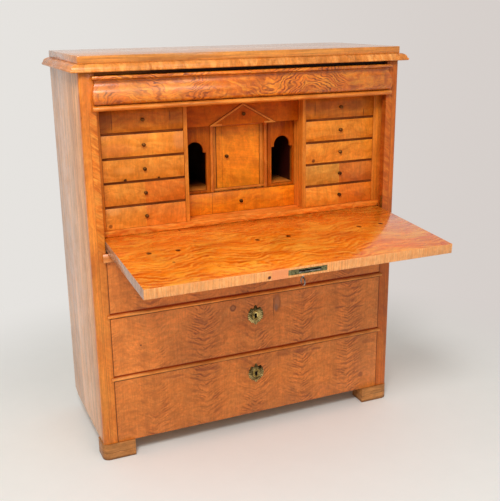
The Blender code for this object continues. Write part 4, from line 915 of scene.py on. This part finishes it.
def smooth_swell(piece):
    """Lets the cushion run into the cove in one sweep, station by station, on the front and both returns."""
    for height, out in FRIEZE_SWELL:
        pick_verts(piece, lambda v: abs(v.z - height) < 0.0002 and v.y < -0.0205)
        bpy.ops.transform.translate(value=(0, -out, 0))
        for end in (-1, 1):
            pick_verts(piece, lambda v: abs(v.z - height) < 0.0002 and v.y < -0.0195 and v.x * end > 0.485)
            bpy.ops.transform.translate(value=(end * out * END_SHARE, 0, 0))


frieze_flame = polished("frieze flame", frieze_face, rough=0.28, polish=0.6, coat_rough=0.22)
eased("frieze_drawer", "frieze_drawer", frieze_flame, width=0.0004, angle=60, trim=smooth_swell)

# Fall: the writing board, a clamped panel faced with the best flame birch and
# highly polished. Its edges are lipped with cross-cut birch, and a lighter
# patch and a plugged screw hole sit left of the lock.

FALL_AXIS = (0, -0.008895, 0.7237)
FALL_ALONG = (0, -0.9977, -0.0680)
FALL_OUT = (0, -0.0680, 0.9977)
FALL_LENGTH = 0.4099  # from the axis to the lip of its free edge
FALL_HALF = 0.4922    # from the middle to the lips of its ends
FALL_BACK = -0.0098   # from the axis to where its outer veneer takes over
FALL_PLUGS = (        # place across and along the board, and size, of each dark plug in it
    (-0.249, -0.0069, 0.6), (-0.400, 0.1561, 1), (-0.312, 0.1611, 1), (-0.054, 0.1611, 1), (0.051, 0.1631, 1),
    (0.309, 0.1611, 1), (0.393, 0.1591, 1), (-0.355, 0.2491, 0.6))


def on_fall(spot):
    """How far a place lies along the fall from its axis, and how far out of its face."""
    off = vectors("SUBTRACT", spot, FALL_AXIS)
    return vectors("DOT_PRODUCT", off, FALL_ALONG), vectors("DOT_PRODUCT", off, FALL_OUT)


def fall_face(spot):
    along, out = on_fall(spot)
    x = parts_of(spot)["X"]
    board = placed(x, along, out)
    inner, threads = birch(board, "B83E01 E36406 FA8216 FFA331", ripple=1.0, **BEST_BIRCH)
    inner = fanned(inner, board, 0.5, 0.42)
    outer, _ = birch(board, "8A3A0C C66A20 DC8030 EA9242", ripple=0.6, flame=0.7, fibre=0.2, lines=60, wander=6,
                     slope=0.4, fold_pitch=0.26, breaks=0.6)
    lip, _ = birch(placed(out, x, along), "DE883E F09850 FAAA62 FFB874", ripple=0.6, flame=0.3, streaks=190,
                   lines=150, wander=3)
    # cross-cut birch ends whose pale grey tone is a painted reflection of the room
    ends, _ = birch(placed(out, along, x), "8A5E44 A8785C C29274 D4AA90", ripple=0.5, flame=0.2, fibre=0.5,
                    streaks=120)
    for across, down, size in FALL_PLUGS:
        plug = blot(board, (across, down, 0.02), (0.0075 * size, 0.0088 * size, 1), scale=200)
        inner = mixed(times(plug, 1.0 if size == 1 else 0.7), inner, "3E1404")
    patch = times(between(x, -0.1225, -0.1215), between(x, -0.0712, -0.0702, 1, 0))
    lip = mixed(times(patch, 0.8), lip, "F09058")
    hole = blot(spot, (-0.1294, -0.419, 0.6955), (0.0052, 0.01, 0.0050), scale=300)
    lip = mixed(hole, lip, "4A1A08")
    wood = mixed(between(out, FALL_BACK, FALL_BACK + 0.0006, 1, 0), inner, outer)
    wood = mixed(between(along, FALL_LENGTH, FALL_LENGTH + 0.0004), wood, lip)
    return mixed(between(sums("ABSOLUTE", x), FALL_HALF, FALL_HALF + 0.0004), wood, ends), threads


fall_flame = polished("fall flame", fall_face, tone=0.15, rough=0.24, polish=0.5, coat_rough=0.06)
eased("fall_front", "fall", fall_flame, width=0.0005)

# Brass and steel: cast escutcheons with a wreath of beads, tarnished, with
# painted light and shade in their rings and flutes and a painted dark keyhole;
# pivot plates and the lock's face plate, gone green-brown; the bolt and the key
# are bright steel.

RING_HALF = (0.0150, 0.0175)   # half width and half height of the ring round a keyhole
WREATH_HALF = (0.0122, 0.0148)
WREATH_FRONT = -0.0227
FLUTES = 25.0
BEADS = 22


def cast_relief(spot):
    """Rings round the keyhole and flutes over the leaves, in painted light and shade with tarnish in the
    grooves; the keyhole is painted dark.
    """
    x, _, z = parts_of(spot)
    side = less(x, KEYHOLE_X)
    heights = []
    for name in ("upper_escutcheon", "middle_escutcheon", "lower_escutcheon"):
        low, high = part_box(name)
        off = less(z, (low.z + high.z) / 2)
        heights.append(times(off, sums("LESS_THAN", sums("ABSOLUTE", off), 0.06)))
    up = sums("ADD", sums("ADD", heights[0], heights[1]), heights[2])
    round_x = sums("DIVIDE", side, RING_HALF[0])
    round_z = sums("DIVIDE", up, RING_HALF[1])
    ring = sums("SQRT", sums("ADD", times(round_x, round_x), times(round_z, round_z)))
    around = sums("ARCTAN2", round_z, round_x)
    flutes = between(sums("SINE", times(around, FLUTES)), -0.8, 0.4, 0.42, 1)
    # painted shade in the gaps of the scrolls at the top
    scroll = times(between(ring, 1.15, 1.3), between(up, 0.008, 0.014), 0.6)
    grooves = sums("MAXIMUM", line_at(ring, 0.76, 0.02, 0.07), line_at(ring, 1.02, 0.02, 0.08))
    less_shade = less(1.0, sums("MAXIMUM", times(grooves, 0.7), scroll))
    fluted = less(1.0, times(between(ring, 1.0, 1.08), less(1.0, flutes)))
    # the keyhole painted dark: painted shade in the hole
    hole = times(sums("LESS_THAN", sums("ABSOLUTE", side), 0.0044), sums("LESS_THAN", up, 0.0058),
                 sums("GREATER_THAN", up, -0.0140))
    return times(less_shade, fluted, between(ring, 1.04, 1.12, 1, 0.78), less(1.0, hole))


def bolt_recess(spot):
    return between(on_fall(spot)[1], 0.0030, 0.0050, 1, 0.05)


def wreath(name, middle):
    """A ring of cast beads round a keyhole, with a plain oval inside it."""
    bpy.ops.object.select_all(action="DESELECT")
    beads = []
    for step in range(BEADS):
        around = math.tau * step / BEADS
        bpy.ops.mesh.primitive_uv_sphere_add(
            segments=10, ring_count=6, radius=0.0015,
            location=(middle.x + WREATH_HALF[0] * math.cos(around), WREATH_FRONT,
                      middle.z + WREATH_HALF[1] * math.sin(around)))
        beads.append(bpy.context.object)
    bpy.ops.mesh.primitive_torus_add(major_radius=0.0095, minor_radius=0.0008, major_segments=32,
                                     minor_segments=8, rotation=(math.radians(90), 0, 0),
                                     location=(middle.x, WREATH_FRONT - 0.0002, middle.z))
    bpy.context.object.scale = (0.9, 1.25, 1)
    beads.append(bpy.context.object)
    for bead in beads:
        bead.select_set(True)
    bpy.context.view_layer.objects.active = beads[0]
    bpy.ops.object.join()
    made = bpy.context.object
    made.name = name
    bpy.ops.object.transform_apply(location=True, rotation=True, scale=True)
    bpy.ops.object.shade_smooth()
    made.data.materials.append(wreath_brass)
    return made


escutcheon_brass = metal("escutcheon brass", "2C1A08 FFE698", 0.3, size=40, recess=cast_relief)
lock_brass = metal("lock brass", "4E4E34 A09A6C", 0.38, size=110)
pivot_brass = metal("pivot brass", "6A5A24 B8A050", 0.3)
bolt_steel = metal("bolt steel", "2A2018 E4DED2", 0.35, recess=bolt_recess)
key_steel = metal("key steel", "4A4640 C4BEB4", 0.28)
wreath_brass = metal("wreath brass", "6A5014 F0D070", 0.26, size=200)
wreaths = []
for place in ("upper", "middle", "lower"):
    name, body = place + "_escutcheon", place + "_long_drawer"
    eased(name, body, escutcheon_brass, width=0.00035, called=name + "_brass")
    wreaths.append((place + "_wreath", body, sum(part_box(name), Vector()) / 2))
brass_set(wreath, wreaths)
eased("fall_escutcheon", "fall", pivot_brass, width=0.00035, called="fall_escutcheon_brass")
eased("fall_lock", "fall", lock_brass, width=0.0003, called="fall_lock_brass")
for side in ("left", "right"):
    eased(side + "_fall_pivot", "case", pivot_brass, width=0.0003, called=side + "_pivot_brass")
eased("fall_bolt", "bolt", bolt_steel, width=0.0003, called="fall_bolt_steel")
eased("fall_key", "key", key_steel, width=0.0002, angle=50, called="fall_key_steel")

# Studio: a pale floor that fades into the pale backdrop, a large soft lamp high
# in front and a little to the left, a faint tall one that the frieze mirrors,
# and light from all round.

CAMERA_PLACE = Vector((-1.0206, -2.3255, 1.4061))
LAMP_TINT = (1.0, 0.985, 0.96)


def room_light(tree):
    """Where the camera, a gloss or a glass looks, as against light that falls on a surface."""
    seen = put("LightPath", {}, tree).outputs
    through = sums("MAXIMUM", seen["Is Glossy Ray"], seen["Is Transmission Ray"])
    return sums("MAXIMUM", seen["Is Camera Ray"], through)


def wall(towards):
    """The backdrop's colour, paler at the photograph's left than at its right."""
    across = vectors("DOT_PRODUCT", vectors("NORMALIZE", towards), (0.9164, -0.4002, 0))
    return mixed(between(across, -0.31, 0.33), "E6E3DF", "D6CFCB")


def lamp(name, place, target, size, watts):
    """A soft elliptical lamp that points at its target."""
    data = bpy.data.lights.new(name, "AREA")
    data.shape = "ELLIPSE"
    data.size, data.size_y = size
    data.energy = watts
    data.color = LAMP_TINT
    made = bpy.data.objects.new(name, data)
    made.location = place
    made.rotation_euler = (Vector(target) - Vector(place)).to_track_quat("-Z", "Y").to_euler()
    bpy.context.scene.collection.objects.link(made)


bpy.ops.object.select_all(action="DESELECT")
bpy.ops.mesh.primitive_circle_add(vertices=64, radius=14, fill_type="NGON", location=(0, 0, -0.0005))
floor = bpy.context.object
floor.name = "studio_floor"
floor_paint, shader, spot = new_finish("studio floor")
ground = mixed(noise(spot, 6, 5, 0.7), "F2F4F2", "F8FAF8")
feed(shader, {"Base Color": ground, "Roughness": 0.9, "Specular IOR Level": 0.1})
far = between(vectors("LENGTH", spot), 0.85, 1.7)
glow = put("Emission", {"Color": wall(vectors("SUBTRACT", spot, tuple(CAMERA_PLACE))), "Strength": 1.0})
tree = floor_paint.node_tree
blend = put("MixShader", {0: times(far, room_light(tree)), 1: shader.outputs[0], 2: glow.outputs[0]})
feed(tree.nodes["Material Output"], {"Surface": blend.outputs[0]})
floor.data.materials.append(floor_paint)

world = bpy.data.worlds.new("studio")
bpy.context.scene.world = world
world.use_nodes = True
tree = world.node_tree
fill = put("Background", {"Color": shade("FFFBF6"), "Strength": 0.5}, tree)
view = put("TexCoord", {}, tree).outputs["Generated"]
backdrop = put("Background", {"Color": wall(view), "Strength": 1.0})
either = put("MixShader", {0: room_light(tree), 1: fill.outputs[0], 2: backdrop.outputs[0]})
feed(tree.nodes["World Output"], {"Surface": either.outputs[0]})
lamp("key_lamp", (-1.5, -2.3, 3.3), (-0.1, 0, 0.8), (1.1, 1.1), 80)
lamp("swell_lamp", (0.22, -1.97, 2.52), (-0.38, 0, 1.2), (0.6, 1.7), 8)

# Camera: at the photograph's place, height and lens, turned a little to the
# right, tipped down, and rolled by half a degree as the photograph is.

FOCAL_PIXELS = 793.7855
PHOTO_WIDTH = 500

camera_data = bpy.data.cameras.new("camera")
camera_data.sensor_width = 36
camera_data.lens = FOCAL_PIXELS / PHOTO_WIDTH * camera_data.sensor_width
camera = bpy.data.objects.new("camera", camera_data)
yaw, pitch, roll = (math.radians(a) for a in (-23.5921, -16.6755, -0.6271))
ahead = Vector((math.sin(-yaw) * math.cos(pitch), math.cos(-yaw) * math.cos(pitch), math.sin(pitch)))
level = ahead.cross(Vector((0, 0, 1))).normalized()
upward = level.cross(ahead)
right = math.cos(roll) * level + math.sin(roll) * upward
above = -math.sin(roll) * level + math.cos(roll) * upward
turn = Matrix((right, above, -ahead)).transposed().to_4x4()
camera.matrix_world = Matrix.Translation(CAMERA_PLACE) @ turn
bpy.context.scene.collection.objects.link(camera)
bpy.context.scene.camera = camera
bpy.context.scene.view_settings.view_transform = "Standard"
